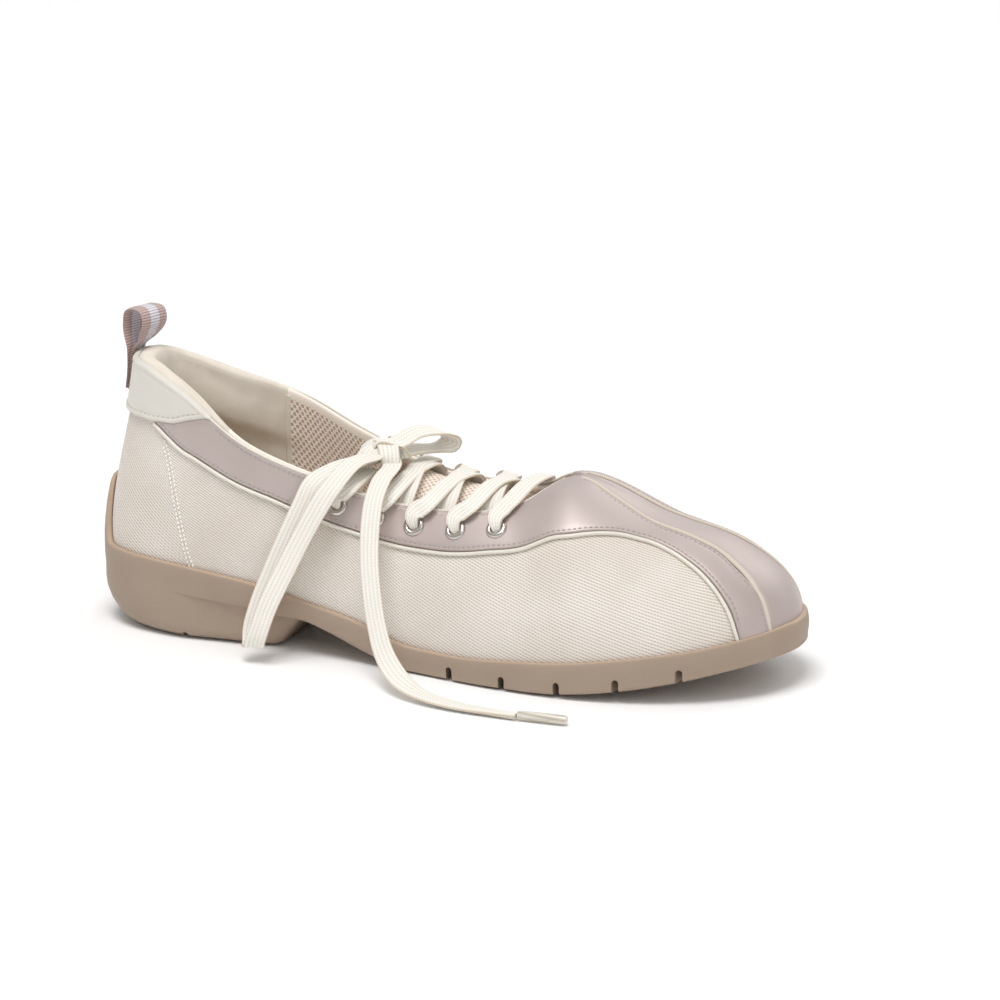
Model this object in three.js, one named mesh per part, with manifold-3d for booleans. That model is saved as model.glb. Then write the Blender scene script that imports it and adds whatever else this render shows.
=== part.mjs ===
// A low lace-up sneaker for the right foot, in millimetres.
// +X runs from heel to toe, +Y to the medial side, +Z up, and the sole rests on z = 0.
// The tables count x from the back of the sole; the model's origin is under the heel's flat.
import * as THREE from 'three';
import { mergeVertices } from 'three/addons/utils/BufferGeometryUtils.js';
import Module from 'manifold-3d';

const wasm = await Module();
wasm.setup();

// Driving dimensions
const SOLE_LENGTH = 250;
const HEEL_REST_X = 58;
const BALL_WIDTH = 88;
const COLLAR_HEIGHT = 92;
const INSTEP_HEIGHT = 62;
const HEEL_SEAT = 27;
const FOREFOOT_SEAT = 9;
const TOE_SPRING = 14;
const UPPER_WALL = 2.2;
const COLLAR_PAD = 4;
const LIP_WALL = 2.2;
const LIP_DEPTH = 4.5;
const TOE_LIP_REACH = 4;
const TOE_LIP_LEAN = 0.05;
const HEEL_FLANGE = 21;
const ARCH_LIFT = 10.6;
const BLOCK_STEP = 5;
const GROOVE_COUNT = 5;
const GROOVE_PITCH = 19.8;
const GROOVE_WIDTH = 2.4;
const GROOVE_DEPTH = 3.2;
const INSOLE_THICKNESS = 3.5;
const INSOLE_EASE = 1;
const TONGUE_THICKNESS = 2;
const SATIN_THICKNESS = 0.8;
const TAB_THICKNESS = 1;
const PIPING_WIDTH = 2.2;
const PIPING_HEIGHT = 1.3;
const EYELET_RADIUS = 3.7;
const EYELET_BORE = 1.7;
const EYELET_METAL = 0.4;
const LACE_WIDTH = 7;
const LACE_THICKNESS = 1.3;
const RIBBON_WIDTH = 12;
const RIBBON_THICKNESS = 1.2;
const LOOP_RISE = 15;
const CLEARANCE = 0.3;
// Overlays on the curved upper lie this far off its facets.
const OVERLAY_GAP = 0.46;

// Steps of the grids
const VAMP_TURN = 120;
const LAST_TURN = 178;

const LATERAL = -1;
const MEDIAL = 1;

// One row for each 15 degrees of turn round the plan, heel 0 to toe 180.
// edge, rimY and swell are shares of the ball width, rimX of the length.
// The rim's height is collar x collar height + instep x instep height.
// rise and swell set how a rib leaves the sole, reach and drop how it comes to the rim.
const COLUMNS = ['edge', 'rimX', 'rimY', 'collar', 'instep', 'rise', 'swell', 'reach', 'drop'];
const RIBS = {
  [LATERAL]: [
    [0.000, 0.052, 0.000, 0.995, 0.000, 0.36, 0.010, 0.20, 0.34],
    [0.177, 0.062, 0.130, 0.990, 0.000, 0.36, 0.012, 0.18, 0.34],
    [0.295, 0.100, 0.222, 0.975, 0.000, 0.36, 0.018, 0.12, 0.34],
    [0.352, 0.160, 0.267, 0.897, 0.000, 0.37, 0.024, 0.08, 0.34],
    [0.369, 0.244, 0.295, 0.750, 0.000, 0.38, 0.030, 0.05, 0.34],
    [0.386, 0.352, 0.278, 0.430, 0.320, 0.42, 0.036, 0.10, 0.30],
    [0.438, 0.470, 0.222, 0.100, 0.685, 0.48, 0.030, 0.25, 0.20],
    [0.511, 0.604, 0.190, 0.000, 0.850, 0.50, 0.020, 0.36, 0.10],
    [0.528, 0.688, -0.020, 0.000, 1.000, 0.52, 0.015, 0.52, 0.02],
    [0.466, 0.796, -0.025, 0.000, 0.831, 0.55, 0.010, 0.55, 0.01],
    [0.347, 0.892, -0.028, 0.000, 0.722, 0.56, 0.005, 0.56, 0.00],
    [0.185, 0.963, -0.030, 0.000, 0.540, 0.56, 0.000, 0.56, 0.00],
    [0.000, 0.988, -0.030, 0.000, 0.310, 0.50, 0.000, 0.50, 0.00],
  ],
  [MEDIAL]: [
    [0.000, 0.052, 0.000, 0.995, 0.000, 0.36, 0.010, 0.20, 0.34],
    [0.177, 0.062, 0.130, 0.973, 0.000, 0.36, 0.012, 0.18, 0.34],
    [0.295, 0.100, 0.222, 0.926, 0.000, 0.36, 0.018, 0.12, 0.34],
    [0.347, 0.160, 0.278, 0.864, 0.000, 0.37, 0.024, 0.08, 0.34],
    [0.330, 0.244, 0.307, 0.793, 0.000, 0.38, 0.024, 0.00, 0.34],
    [0.301, 0.344, 0.267, 0.470, 0.320, 0.42, 0.030, 0.00, 0.30],
    [0.318, 0.464, 0.222, 0.110, 0.710, 0.48, 0.030, 0.15, 0.20],
    [0.403, 0.600, 0.190, 0.000, 0.855, 0.50, 0.020, 0.36, 0.10],
    [0.466, 0.688, 0.020, 0.000, 1.000, 0.52, 0.015, 0.52, 0.02],
    [0.443, 0.796, 0.025, 0.000, 0.831, 0.55, 0.010, 0.55, 0.01],
    [0.341, 0.892, 0.028, 0.000, 0.722, 0.56, 0.005, 0.56, 0.00],
    [0.191, 0.963, 0.030, 0.000, 0.540, 0.56, 0.000, 0.56, 0.00],
    [0.000, 0.988, 0.030, 0.000, 0.310, 0.50, 0.000, 0.50, 0.00],
  ],
};
const ROW_STEP = 15;
// How each column goes on past the heel and the toe: mirrored, turned over or straight on.
const HEEL_END = { edge: -1, rimX: 1, rimY: -1, collar: 1, instep: 1, rise: 1, swell: 1, reach: 1, drop: 1 };
const TOE_END = { edge: -1, rimX: 1, rimY: 1, collar: 1, instep: 0, rise: 1, swell: 1, reach: 1, drop: 1 };

const clamp01 = (t) => Math.min(1, Math.max(0, t));
const mix = (a, b, t) => a + (b - a) * t;
const smooth = (t) => clamp01(t) ** 2 * (3 - 2 * clamp01(t));

// A Catmull-Rom value of a row table's column at a turn.
function rib(side, name, turn) {
  const rows = RIBS[side];
  const k = COLUMNS.indexOf(name);
  const last = rows.length - 1;
  const value = (i) => {
    if (i < 0) return HEEL_END[name] * rows[-i][k];
    if (i <= last) return rows[i][k];
    const back = rows[2 * last - i][k];
    return TOE_END[name] === 0 ? 2 * rows[last][k] - back : TOE_END[name] * back;
  };
  const place = turn / ROW_STEP;
  const i = Math.min(last - 1, Math.floor(place));
  const t = place - i;
  const [a, b, c, d] = [value(i - 1), value(i), value(i + 1), value(i + 2)];
  return b + 0.5 * t * (c - a + t * (2 * a - 5 * b + 4 * c - d + t * (3 * (b - c) + d - a)));
}

// The sole's plan outline, as [x, y].
function outline(turn, side) {
  const x = 0.5 * SOLE_LENGTH * (1 - Math.cos((turn * Math.PI) / 180));
  return [x, side * BALL_WIDTH * rib(side, 'edge', turn)];
}

// The outline moved inward by a distance.
function insetOutline(turn, side, distance) {
  const step = 0.5;
  const ahead = outline(Math.min(180, turn + step), side);
  const behind = turn < step ? mirrored(outline(step - turn, side)) : outline(turn - step, side);
  const past = turn > 180 - step ? mirrored(outline(360 - turn - step, side)) : ahead;
  const tx = past[0] - behind[0];
  const ty = past[1] - behind[1];
  const length = Math.hypot(tx, ty);
  const [x, y] = outline(turn, side);
  return [x + (side * distance * ty) / length, y - (side * distance * tx) / length];
}
const mirrored = ([x, y]) => [x, -y];

// Height of the sole's top edge at a place along the length.
const SEAT_ROWS = [
  [0.00, 1.00, 0.00], [0.10, 0.98, 0.00], [0.17, 0.94, 0.00], [0.27, 0.80, 0.12],
  [0.35, 0.56, 0.35], [0.42, 0.28, 0.80], [0.49, 0.06, 0.80], [0.58, 0.00, 0.93],
  [0.73, 0.00, 1.30], [0.90, 0.00, 1.97], [1.00, 0.00, 2.50],
];
function between(rows, place, k) {
  let i = 0;
  while (i < rows.length - 2 && place > rows[i + 1][0]) i += 1;
  const t = clamp01((place - rows[i][0]) / (rows[i + 1][0] - rows[i][0]));
  return mix(rows[i][k], rows[i + 1][k], t);
}
function seatHeight(x) {
  const place = x / SOLE_LENGTH;
  return HEEL_SEAT * between(SEAT_ROWS, place, 1) + FOREFOOT_SEAT * between(SEAT_ROWS, place, 2);
}

const spineSlope = (side, turn) => {
  const step = 0.5;
  const dz = rimHeight(side, turn + step) - rimHeight(side, turn - step);
  const dx = SOLE_LENGTH * (rib(side, 'rimX', turn + step) - rib(side, 'rimX', turn - step));
  return dz / Math.max(dx, 1e-3);
};
const rimHeight = (side, turn) =>
  COLLAR_HEIGHT * rib(side, 'collar', Math.min(turn, 179.9)) + INSTEP_HEIGHT * rib(side, 'instep', Math.min(turn, 179.9));

// The four control points of the rib at a turn.
function ribPoints(turn, side) {
  const [bx, by] = insetOutline(turn, side, LIP_WALL + CLEARANCE);
  const base = new THREE.Vector3(bx, by, seatHeight(bx) - LIP_DEPTH);
  const rim = new THREE.Vector3(
    SOLE_LENGTH * rib(side, 'rimX', turn),
    side * BALL_WIDTH * rib(side, 'rimY', turn),
    rimHeight(side, turn),
  );
  const height = rim.z - base.z;
  const [ox, oy] = insetOutline(turn, side, LIP_WALL + CLEARANCE - 1);
  const swell = BALL_WIDTH * rib(side, 'swell', turn);
  const low = new THREE.Vector3(
    bx + (ox - bx) * swell,
    by + (oy - by) * swell,
    base.z + height * rib(side, 'rise', turn),
  );
  const reach = rib(side, 'reach', turn);
  const onSpine = smooth((turn - VAMP_TURN + ROW_STEP) / ROW_STEP);
  const dx = (bx - rim.x) * reach;
  const high = new THREE.Vector3(
    rim.x + dx,
    rim.y + (by - rim.y) * reach,
    rim.z - height * rib(side, 'drop', turn) + onSpine * dx * spineSlope(side, Math.min(turn, 178)),
  );
  return [base, low, high, rim];
}
const ribCache = new Map();
function surfacePoint(turn, side, share) {
  const key = `${turn.toFixed(4)} ${side}`;
  if (!ribCache.has(key)) ribCache.set(key, ribPoints(turn, side));
  const [a, b, c, d] = ribCache.get(key);
  const t = share;
  const s = 1 - t;
  return new THREE.Vector3()
    .addScaledVector(a, s * s * s)
    .addScaledVector(b, 3 * s * s * t)
    .addScaledVector(c, 3 * s * t * t)
    .addScaledVector(d, t * t * t);
}

// The shell and patches

// The outward unit normal of the last's surface.
function surfaceNormal(turn, side, share) {
  const step = 0.25;
  const t0 = Math.max(0, turn - step);
  const t1 = Math.min(179.5, turn + step);
  const s0 = Math.max(0, share - 0.01);
  const s1 = Math.min(1, share + 0.01);
  const along = surfacePoint(t1, side, share).sub(surfacePoint(t0, side, share));
  const up = surfacePoint(turn, side, s1).sub(surfacePoint(turn, side, s0));
  return along.cross(up).multiplyScalar(-side).normalize();
}

// A grid of surface places: columns of { turn, side, share }.
function grid(columns, flip) {
  const nodes = columns.map((column) =>
    column.map((place) => ({
      ...place,
      point: surfacePoint(place.turn, place.side, place.share),
      normal: surfaceNormal(place.turn, place.side, place.share),
    })),
  );
  return { nodes, flip };
}

// A closed body between two offsets of joined grids; the free edges get side walls.
function slab(grids, low, high) {
  const welded = new Map();
  const list = [];
  const find = (node) => {
    const key = node.point.toArray().map((v) => Math.round(v * 500)).join(' ');
    if (!welded.has(key)) {
      welded.set(key, list.length);
      list.push({ ...node, normal: new THREE.Vector3() });
    }
    const index = welded.get(key);
    list[index].normal.add(node.normal);
    return index;
  };
  const faces = [];
  const face = (a, b, c) => {
    if (a !== b && b !== c && c !== a) faces.push([a, b, c]);
  };
  for (const { nodes, flip } of grids) {
    const index = nodes.map((column) => column.map(find));
    for (let i = 0; i + 1 < index.length; i += 1) {
      for (let j = 0; j + 1 < index[i].length; j += 1) {
        const [a, b, c, d] = [index[i][j], index[i + 1][j], index[i + 1][j + 1], index[i][j + 1]];
        if (flip) {
          face(a, c, b);
          face(a, d, c);
        } else {
          face(a, b, c);
          face(a, c, d);
        }
      }
    }
  }
  const half = list.length;
  const points = [];
  for (const offset of [low, high]) {
    for (const node of list) {
      const normal = node.normal.clone().normalize();
      points.push(node.point.clone().addScaledVector(normal, offset(node)));
    }
  }
  const edges = new Map();
  for (const [a, b, c] of faces) {
    for (const [p, q] of [[a, b], [b, c], [c, a]]) {
      if (edges.has(`${q} ${p}`)) edges.delete(`${q} ${p}`);
      else edges.set(`${p} ${q}`, [p, q]);
    }
  }
  const triangles = [];
  for (const [a, b, c] of faces) {
    triangles.push([a + half, b + half, c + half], [a, c, b]);
  }
  for (const [a, b] of edges.values()) {
    triangles.push([a, b, b + half], [a, b + half, a + half]);
  }
  return meshGeometry(points, triangles);
}

function meshGeometry(points, triangles) {
  const geometry = new THREE.BufferGeometry();
  geometry.setAttribute('position', new THREE.Float32BufferAttribute(points.flatMap((p) => p.toArray()), 3));
  geometry.setIndex(triangles.flat());
  return geometry;
}

function solidOf(geometry) {
  const bare = geometry.clone();
  bare.deleteAttribute('normal');
  bare.deleteAttribute('uv');
  const merged = mergeVertices(bare, 1e-4);
  return new wasm.Manifold(
    new wasm.Mesh({
      numProp: 3,
      vertProperties: merged.getAttribute('position').array,
      triVerts: new Uint32Array(merged.index.array),
    }),
  );
}

function geometryOf(solid) {
  const mesh = solid.getMesh();
  const geometry = new THREE.BufferGeometry();
  geometry.setAttribute('position', new THREE.BufferAttribute(new Float32Array(mesh.vertProperties), 3));
  geometry.setIndex(new THREE.BufferAttribute(new Uint32Array(mesh.triVerts), 1));
  return geometry;
}

const steps = (from, to, count) => Array.from({ length: count + 1 }, (_, i) => mix(from, to, i / count));

// A value between the rows of a table of [turn, share].
function tableShare(rows, turn) {
  let i = 0;
  while (i < rows.length - 2 && turn > rows[i + 1][0]) i += 1;
  const t = (turn - rows[i][0]) / (rows[i + 1][0] - rows[i][0]);
  return mix(rows[i][1], rows[i + 1][1], clamp01(t));
}

// The lines that part the panels, as turn and share of the rib.
const PIPING_LINE = [
  [34, 0.74], [44, 0.68], [54, 0.69], [66, 0.70], [76, 0.66], [86, 0.64], [96, 0.625], [104, 0.635],
  [111, 0.595], [118, 0.565], [122.5, 0.61], [128, 0.68], [133.5, 0.72], [138, 0.68], [143.5, 0.58],
  [148, 0.45], [152, 0.28], [154, 0.08], [154.8, 0],
];
const TOE_SEAM = [
  [120, 0.955], [125, 0.895], [132, 0.88], [140, 0.87], [148, 0.81], [155, 0.69], [161, 0.49], [164.5, 0.17],
  [165.3, 0],
];
const TAB_EDGE = [[0, 0.76], [15, 0.73], [24, 0.73], [33, 0.75], [41, 0.80], [47.5, 0.905], [52, 1]];
const TAB_TURN = 50.5;
const TAB_END = 52;
const PIPING_START = 36.5;
const PIPING_END = 154.6;
const SATIN_START = 39.5;
const SEAM_START = 121.5;
const SEAM_END = 165.1;

// The share that lies a distance across a panel line.
function across(rows, turn, side, distance) {
  const share = tableShare(rows, turn);
  const step = 0.5;
  const ahead = surfacePoint(turn + step, side, clamp01(tableShare(rows, turn + step)));
  const behind = surfacePoint(turn - step, side, clamp01(tableShare(rows, turn - step)));
  const line = ahead.sub(behind).normalize();
  const up = surfacePoint(turn, side, Math.min(1, share + 0.02)).sub(surfacePoint(turn, side, share - 0.02));
  up.divideScalar(Math.min(1, share + 0.02) - share + 0.02);
  return clamp01(share + distance / Math.max(up.cross(line).length(), 8));
}

// Stations: dense at the heel's flange and the front of the heel block.
const RIB_STEPS = 7;
const collarTurns = [
  ...steps(0, 24, 6), ...steps(24, 60, 5).slice(1), 66, 69.5, 74, 79, 84.5, ...steps(90, VAMP_TURN, 5),
];
const vampTurns = [...steps(VAMP_TURN, 156, 5), ...steps(156, LAST_TURN, 5).slice(1)];
// Every panel and piping line takes its stations from this one list, so that their edges stay parallel.
const panelTurns = [
  ...collarTurns.filter((turn) => turn > 36 && turn < VAMP_TURN),
  ...vampTurns.slice(0, -1).flatMap((turn, i) => [turn, (turn + vampTurns[i + 1]) / 2]),
];
const turnsBetween = (from, to) => panelTurns.filter((turn) => turn >= from && turn <= to);

const flangeAt = (turn) => HEEL_FLANGE * (1 - smooth((turn - 7) / 12));
const lipHeight = (turn) => seatHeight(outline(turn, LATERAL)[0]) + flangeAt(turn);

function shareAtHeight(turn, side, z) {
  let [low, high] = [0, 1];
  for (let i = 0; i < 30; i += 1) {
    const middle = (low + high) / 2;
    if (surfacePoint(turn, side, middle).z < z) low = middle;
    else high = middle;
  }
  return low;
}
const lipShare = (turn, side) => shareAtHeight(turn, side, lipHeight(turn) + 2 * CLEARANCE);

// A panel between two shares that change with the turn, kept above the sole's lip.
function panel(side, turns, lower, upper, rows) {
  const columns = [];
  for (const turn of turns) {
    const low = Math.max(lower(turn), lipShare(turn, side));
    if (upper(turn) - low < 0.012) continue;
    columns.push(steps(low, upper(turn), rows).map((share) => ({ turn, side, share })));
  }
  return grid(columns, side === MEDIAL);
}

// Bodies of the upper

function padAt({ turn, share }) {
  return COLLAR_PAD * (1 - smooth((turn - 35) / 30)) * smooth((share - 0.45) / 0.35);
}

function crossing(turn, lower, upper, rows) {
  const rise = steps(lower, 1, rows).map((share) => ({ turn, side: LATERAL, share }));
  const fall = steps(1, upper, rows).slice(1).map((share) => ({ turn, side: MEDIAL, share }));
  return [...rise, ...fall];
}

function upperShell() {
  const column = (turn, side) => steps(0, 1, RIB_STEPS).map((share) => ({ turn, side, share }));
  const round = [
    ...[...collarTurns].reverse().map((turn) => column(turn, LATERAL)),
    ...collarTurns.slice(1).map((turn) => column(turn, MEDIAL)),
  ];
  const vamp = vampTurns.map((turn) => crossing(turn, 0, 0, RIB_STEPS));
  return slab([grid(round, true), grid(vamp, false)], (node) => -UPPER_WALL - padAt(node), () => 0);
}

const flat = (value) => () => value;
const BEAD_EDGE = PIPING_WIDTH / 2 + CLEARANCE;
// Panels that end at the collar or throat stop at this share.
const TOP_SHARE = 0.985;

function satinPanel(side) {
  const turns = turnsBetween(SATIN_START, SEAM_END);
  const lower = (turn) => (turn > PIPING_END ? 0 : across(PIPING_LINE, turn, side, BEAD_EDGE));
  const upper = (turn) => {
    if (turn < TAB_END) return Math.min(TOP_SHARE, across(TAB_EDGE, turn, side, -CLEARANCE));
    if (turn > VAMP_TURN) return across(TOE_SEAM, turn, side, -BEAD_EDGE);
    return mix(TOP_SHARE, across(TOE_SEAM, VAMP_TURN, side, -BEAD_EDGE), smooth((turn - 112) / 8));
  };
  return slab([panel(side, turns, lower, upper, 4)], flat(OVERLAY_GAP), flat(OVERLAY_GAP + SATIN_THICKNESS));
}

function bead(rows, side, from, to) {
  const edge = (turn, sign) => across(rows, turn, side, (sign * PIPING_WIDTH) / 2);
  const strip = panel(side, turnsBetween(from, to), (t) => edge(t, -1), (t) => edge(t, 1), 2);
  const middle = new Set(strip.nodes.map((column) => column[1]));
  for (const node of middle) node.crown = true;
  return slab([strip], flat(OVERLAY_GAP), (node) => OVERLAY_GAP + PIPING_HEIGHT * (node.crown ? 1 : 0.45));
}

function toeBand() {
  const edge = (turn, side) => (turn > SEAM_END ? 0 : across(TOE_SEAM, turn, side, BEAD_EDGE));
  const turns = turnsBetween(SEAM_START, LAST_TURN);
  const columns = turns
    .map((turn) => [LATERAL, MEDIAL].map((side) => Math.max(edge(turn, side), lipShare(turn, side))))
    .map(([lateral, medial], i) => crossing(turns[i], lateral, medial, 3))
    .filter((column) => column[0].share < 0.97);
  return slab([grid(columns, false)], flat(OVERLAY_GAP), flat(OVERLAY_GAP + SATIN_THICKNESS));
}

function heelTab() {
  const column = (turn, side) =>
    steps(Math.min(tableShare(TAB_EDGE, turn), TOP_SHARE), TOP_SHARE, 3).map((share) => ({ turn, side, share }));
  const turns = [...collarTurns.filter((turn) => turn < TAB_TURN), TAB_TURN];
  const columns = [
    ...[...turns].reverse().map((turn) => column(turn, LATERAL)),
    ...turns.slice(1).map((turn) => column(turn, MEDIAL)),
  ];
  return slab([grid(columns, true)], flat(OVERLAY_GAP), flat(OVERLAY_GAP + TAB_THICKNESS));
}

// Sole

// Height of the tread: flat under heel and ball, lifted under the arch and at the toe.
const TREAD_ROWS = [
  [0.000, 0, 0], [0.296, 0, 0], [0.322, 0.99, 0], [0.340, 1, 0], [0.376, 0.81, 0], [0.408, 0.55, 0],
  [0.448, 0.25, 0], [0.488, 0, 0], [0.700, 0, 0], [0.760, 0, 0.11], [0.820, 0, 0.28], [0.880, 0, 0.50],
  [0.940, 0, 0.75], [1.000, 0, 1.00],
];
const treadHeight = (x) =>
  ARCH_LIFT * between(TREAD_ROWS, x / SOLE_LENGTH, 1) + TOE_SPRING * between(TREAD_ROWS, x / SOLE_LENGTH, 2);
// Lower edge of the side band as a share of the wall, and how far the block under it is set in.
const BAND_ROWS = [
  [0.00, 0.80, 0], [0.15, 0.74, 0], [0.20, 0.73, 0.30], [0.27, 0.76, 0.62], [0.30, 0.76, 1.00], [0.325, 0.42, 0.90],
  [0.36, 0.30, 0.30], [0.42, 0.30, 0.05], [0.50, 0.35, 0], [1.00, 0.35, 0],
];
// Rounding of the bottom edge: how far in and how high, in mm, by the turn.
const EDGE_ROWS = [
  [0, 21, 16], [15, 17, 14], [30, 8, 8], [45, 4.5, 5], [60, 4, 4.5], [150, 3, 3], [165, 6, 5], [180, 9, 6],
];

const soleTurns = [...collarTurns, ...vampTurns.slice(1)];
// The same stations all round, from the heel along the lateral side to the toe and back.
const around = [
  ...soleTurns.map((turn) => [turn, LATERAL]),
  ...soleTurns.slice(1).reverse().map((turn) => [turn, MEDIAL]),
];

// The two flat sides of a ring of points, across from station to station.
function caps(count, start, up) {
  const triangles = [];
  const far = (j) => start + ((count - j) % count);
  for (let i = 0; i + 1 < soleTurns.length; i += 1) {
    const quad = [start + i, start + i + 1, far(i + 1), far(i)];
    const [a, b, c, d] = up ? quad : [...quad].reverse();
    if (a !== b && b !== c && a !== c) triangles.push([a, b, c]);
    if (a !== c && c !== d && a !== d) triangles.push([a, c, d]);
  }
  return triangles;
}

// Side walls between rings of points, closed below and above.
function stack(rings) {
  const { length: count } = rings[0];
  const triangles = [...caps(count, 0, false), ...caps(count, (rings.length - 1) * count, true)];
  for (let k = 0; k + 1 < rings.length; k += 1) {
    for (let i = 0; i < count; i += 1) {
      const [a, b] = [k * count + i, k * count + ((i + 1) % count)];
      triangles.push([a, b, b + count], [a, b + count, a + count]);
    }
  }
  return meshGeometry(rings.flat(), triangles);
}

function soleSolid() {
  const ring = (make) => around.map(([turn, side]) => make(turn, side));
  const levels = (turn, side) => {
    const [x] = outline(turn, side);
    const [bx] = insetOutline(turn, side, between(EDGE_ROWS, turn, 1));
    const tread = treadHeight(bx);
    const top = seatHeight(x) - LIP_DEPTH;
    const band = mix(tread, top, between(BAND_ROWS, x / SOLE_LENGTH, 1));
    const step = BLOCK_STEP * between(BAND_ROWS, x / SOLE_LENGTH, 2);
    return { tread, band, step, top };
  };
  const bottomEdge = (angle) => (turn, side) => {
    const { tread, band, step } = levels(turn, side);
    const inward = between(EDGE_ROWS, turn, 1) * (1 - Math.sin(angle));
    const rise = Math.min(between(EDGE_ROWS, turn, 2), band - tread - 0.8) * (1 - Math.cos(angle));
    const [x, y] = insetOutline(turn, side, inward + step + 0.3);
    return new THREE.Vector3(x, y, tread + rise);
  };
  const bandEdge = (inset, rise) => (turn, side) => {
    const { band, step } = levels(turn, side);
    const [x, y] = insetOutline(turn, side, inset === null ? step + 0.3 : inset);
    return new THREE.Vector3(x, y, band + rise);
  };
  const lip = (part, offset) => (turn, side) => {
    const base = surfacePoint(turn, side, 0).z;
    const top = lipHeight(turn);
    if (surfacePoint(turn, side, 1).z < top + TOE_LIP_REACH) {
      const [x, y] = insetOutline(turn, side, LIP_WALL + CLEARANCE - offset);
      return new THREE.Vector3(x - (top - base) * part * TOE_LIP_LEAN, y, mix(base, top, part));
    }
    const share = part === 0 ? 0 : shareAtHeight(turn, side, mix(base, top, part));
    const normal = surfaceNormal(turn, side, share);
    normal.z *= part === 0 ? 0 : 1;
    normal.normalize();
    return surfacePoint(turn, side, share).addScaledVector(normal, offset);
  };
  const footbed = (turn, side) => {
    const [x, y] = insetOutline(turn, side, LIP_WALL);
    return new THREE.Vector3(x, y, surfacePoint(turn, side, 0).z - CLEARANCE);
  };
  const outer = CLEARANCE + LIP_WALL;
  const edgeAngles = steps(0, Math.PI / 2, 3);
  const rings = [
    ...edgeAngles.map((angle) => ring(bottomEdge(angle))),
    ring(bandEdge(null, -0.35)),
    ring(bandEdge(0.3, 0.35)),
    ring(lip(0, outer)),
    ring(lip(1 / 3, outer)),
    ring(lip(2 / 3, outer * 0.94)),
    ring(lip(1, outer * 0.7)),
    ring(lip(1, CLEARANCE)),
    ring(lip(2 / 3, CLEARANCE)),
    ring(lip(1 / 3, CLEARANCE)),
    ring(lip(0, CLEARANCE)),
    ring(footbed),
  ];
  return stack(rings);
}

const FIRST_GROOVE = 0.564 * SOLE_LENGTH;
const HEEL_GROOVE = 0.16 * SOLE_LENGTH;

function grooveBox(x, width, depth) {
  const height = treadHeight(x) + depth + 2;
  const box = new THREE.BoxGeometry(width, BALL_WIDTH * 1.6, height);
  box.translate(x, 0, height / 2 - 2);
  return box;
}

function sole() {
  let solid = solidOf(soleSolid());
  for (let i = 0; i < GROOVE_COUNT; i += 1) {
    solid = solid.subtract(solidOf(grooveBox(FIRST_GROOVE + i * GROOVE_PITCH, GROOVE_WIDTH, GROOVE_DEPTH)));
  }
  return geometryOf(solid.subtract(solidOf(grooveBox(HEEL_GROOVE, GROOVE_WIDTH, GROOVE_DEPTH * 0.6))));
}

function insole() {
  const inset = LIP_WALL + CLEARANCE + UPPER_WALL + INSOLE_EASE;
  const rings = [CLEARANCE, CLEARANCE + INSOLE_THICKNESS].map((rise) =>
    around.map(([turn, side]) => {
      const [x, y] = insetOutline(turn, side, inset);
      return new THREE.Vector3(x, y, surfacePoint(turn, side, 0).z + rise);
    }),
  );
  return stack(rings);
}

// Tongue, under the throat and fixed inside the vamp

const TONGUE_SHARE = 0.88;
const TONGUE_TURNS = [87, 90, 96, 102, 108, 114, 120, 126];
const TONGUE_TILT = 0.3;
const TONGUE_DROP = 0.35;
const TONGUE_STEPS = 5;

function tongue() {
  const under = UPPER_WALL + CLEARANCE;
  const inside = (turn, side, share) => {
    const normal = surfaceNormal(turn, side, share);
    return { point: surfacePoint(turn, side, share).addScaledVector(normal, -under - TONGUE_DROP), normal };
  };
  const bridged = (turn) => {
    const ends = [LATERAL, MEDIAL].map((side) => {
      const { point, normal } = inside(turn, side, TONGUE_SHARE);
      const up = surfacePoint(turn, side, TONGUE_SHARE + 0.04).sub(surfacePoint(turn, side, TONGUE_SHARE - 0.04));
      return { point, lead: up.normalize().addScaledVector(normal, -TONGUE_TILT).normalize() };
    });
    const span = ends[0].point.distanceTo(ends[1].point) * 0.36;
    const curve = new THREE.CubicBezierCurve3(
      ends[0].point,
      ends[0].point.clone().addScaledVector(ends[0].lead, span),
      ends[1].point.clone().addScaledVector(ends[1].lead, span),
      ends[1].point,
    );
    return steps(0, 1, 2 * TONGUE_STEPS).map((t) => ({
      point: curve.getPoint(t),
      normal: new THREE.Vector3(1, 0, 0).cross(curve.getTangent(t)).normalize(),
    }));
  };
  const followed = (turn) =>
    crossing(turn, TONGUE_SHARE, TONGUE_SHARE, TONGUE_STEPS).map(({ side, share }) => inside(turn, side, share));
  const nodes = TONGUE_TURNS.map((turn) => (turn < VAMP_TURN ? bridged(turn) : followed(turn)));
  return slab([{ nodes, flip: false }], flat(-TONGUE_THICKNESS), flat(0));
}

// Eyelets

const EYELET_COUNT = 5;
const FIRST_EYELET = 78;
const EYELET_PITCH = 6.55;
const eyeletTurn = (i) => FIRST_EYELET + EYELET_PITCH * i;
const eyeletShare = (i) => mix(0.83, 0.795, i / (EYELET_COUNT - 1));
const FLANGE_SEAT = OVERLAY_GAP + SATIN_THICKNESS + CLEARANCE + 0.25;
const FLANGE_THICKNESS = 0.7;

function placeOnSurface(geometry, turn, side, share) {
  const normal = surfaceNormal(turn, side, share);
  const turned = new THREE.Quaternion().setFromUnitVectors(new THREE.Vector3(0, 1, 0), normal);
  const point = surfacePoint(turn, side, share);
  return geometry.applyQuaternion(turned).translate(point.x, point.y, point.z);
}

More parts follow.
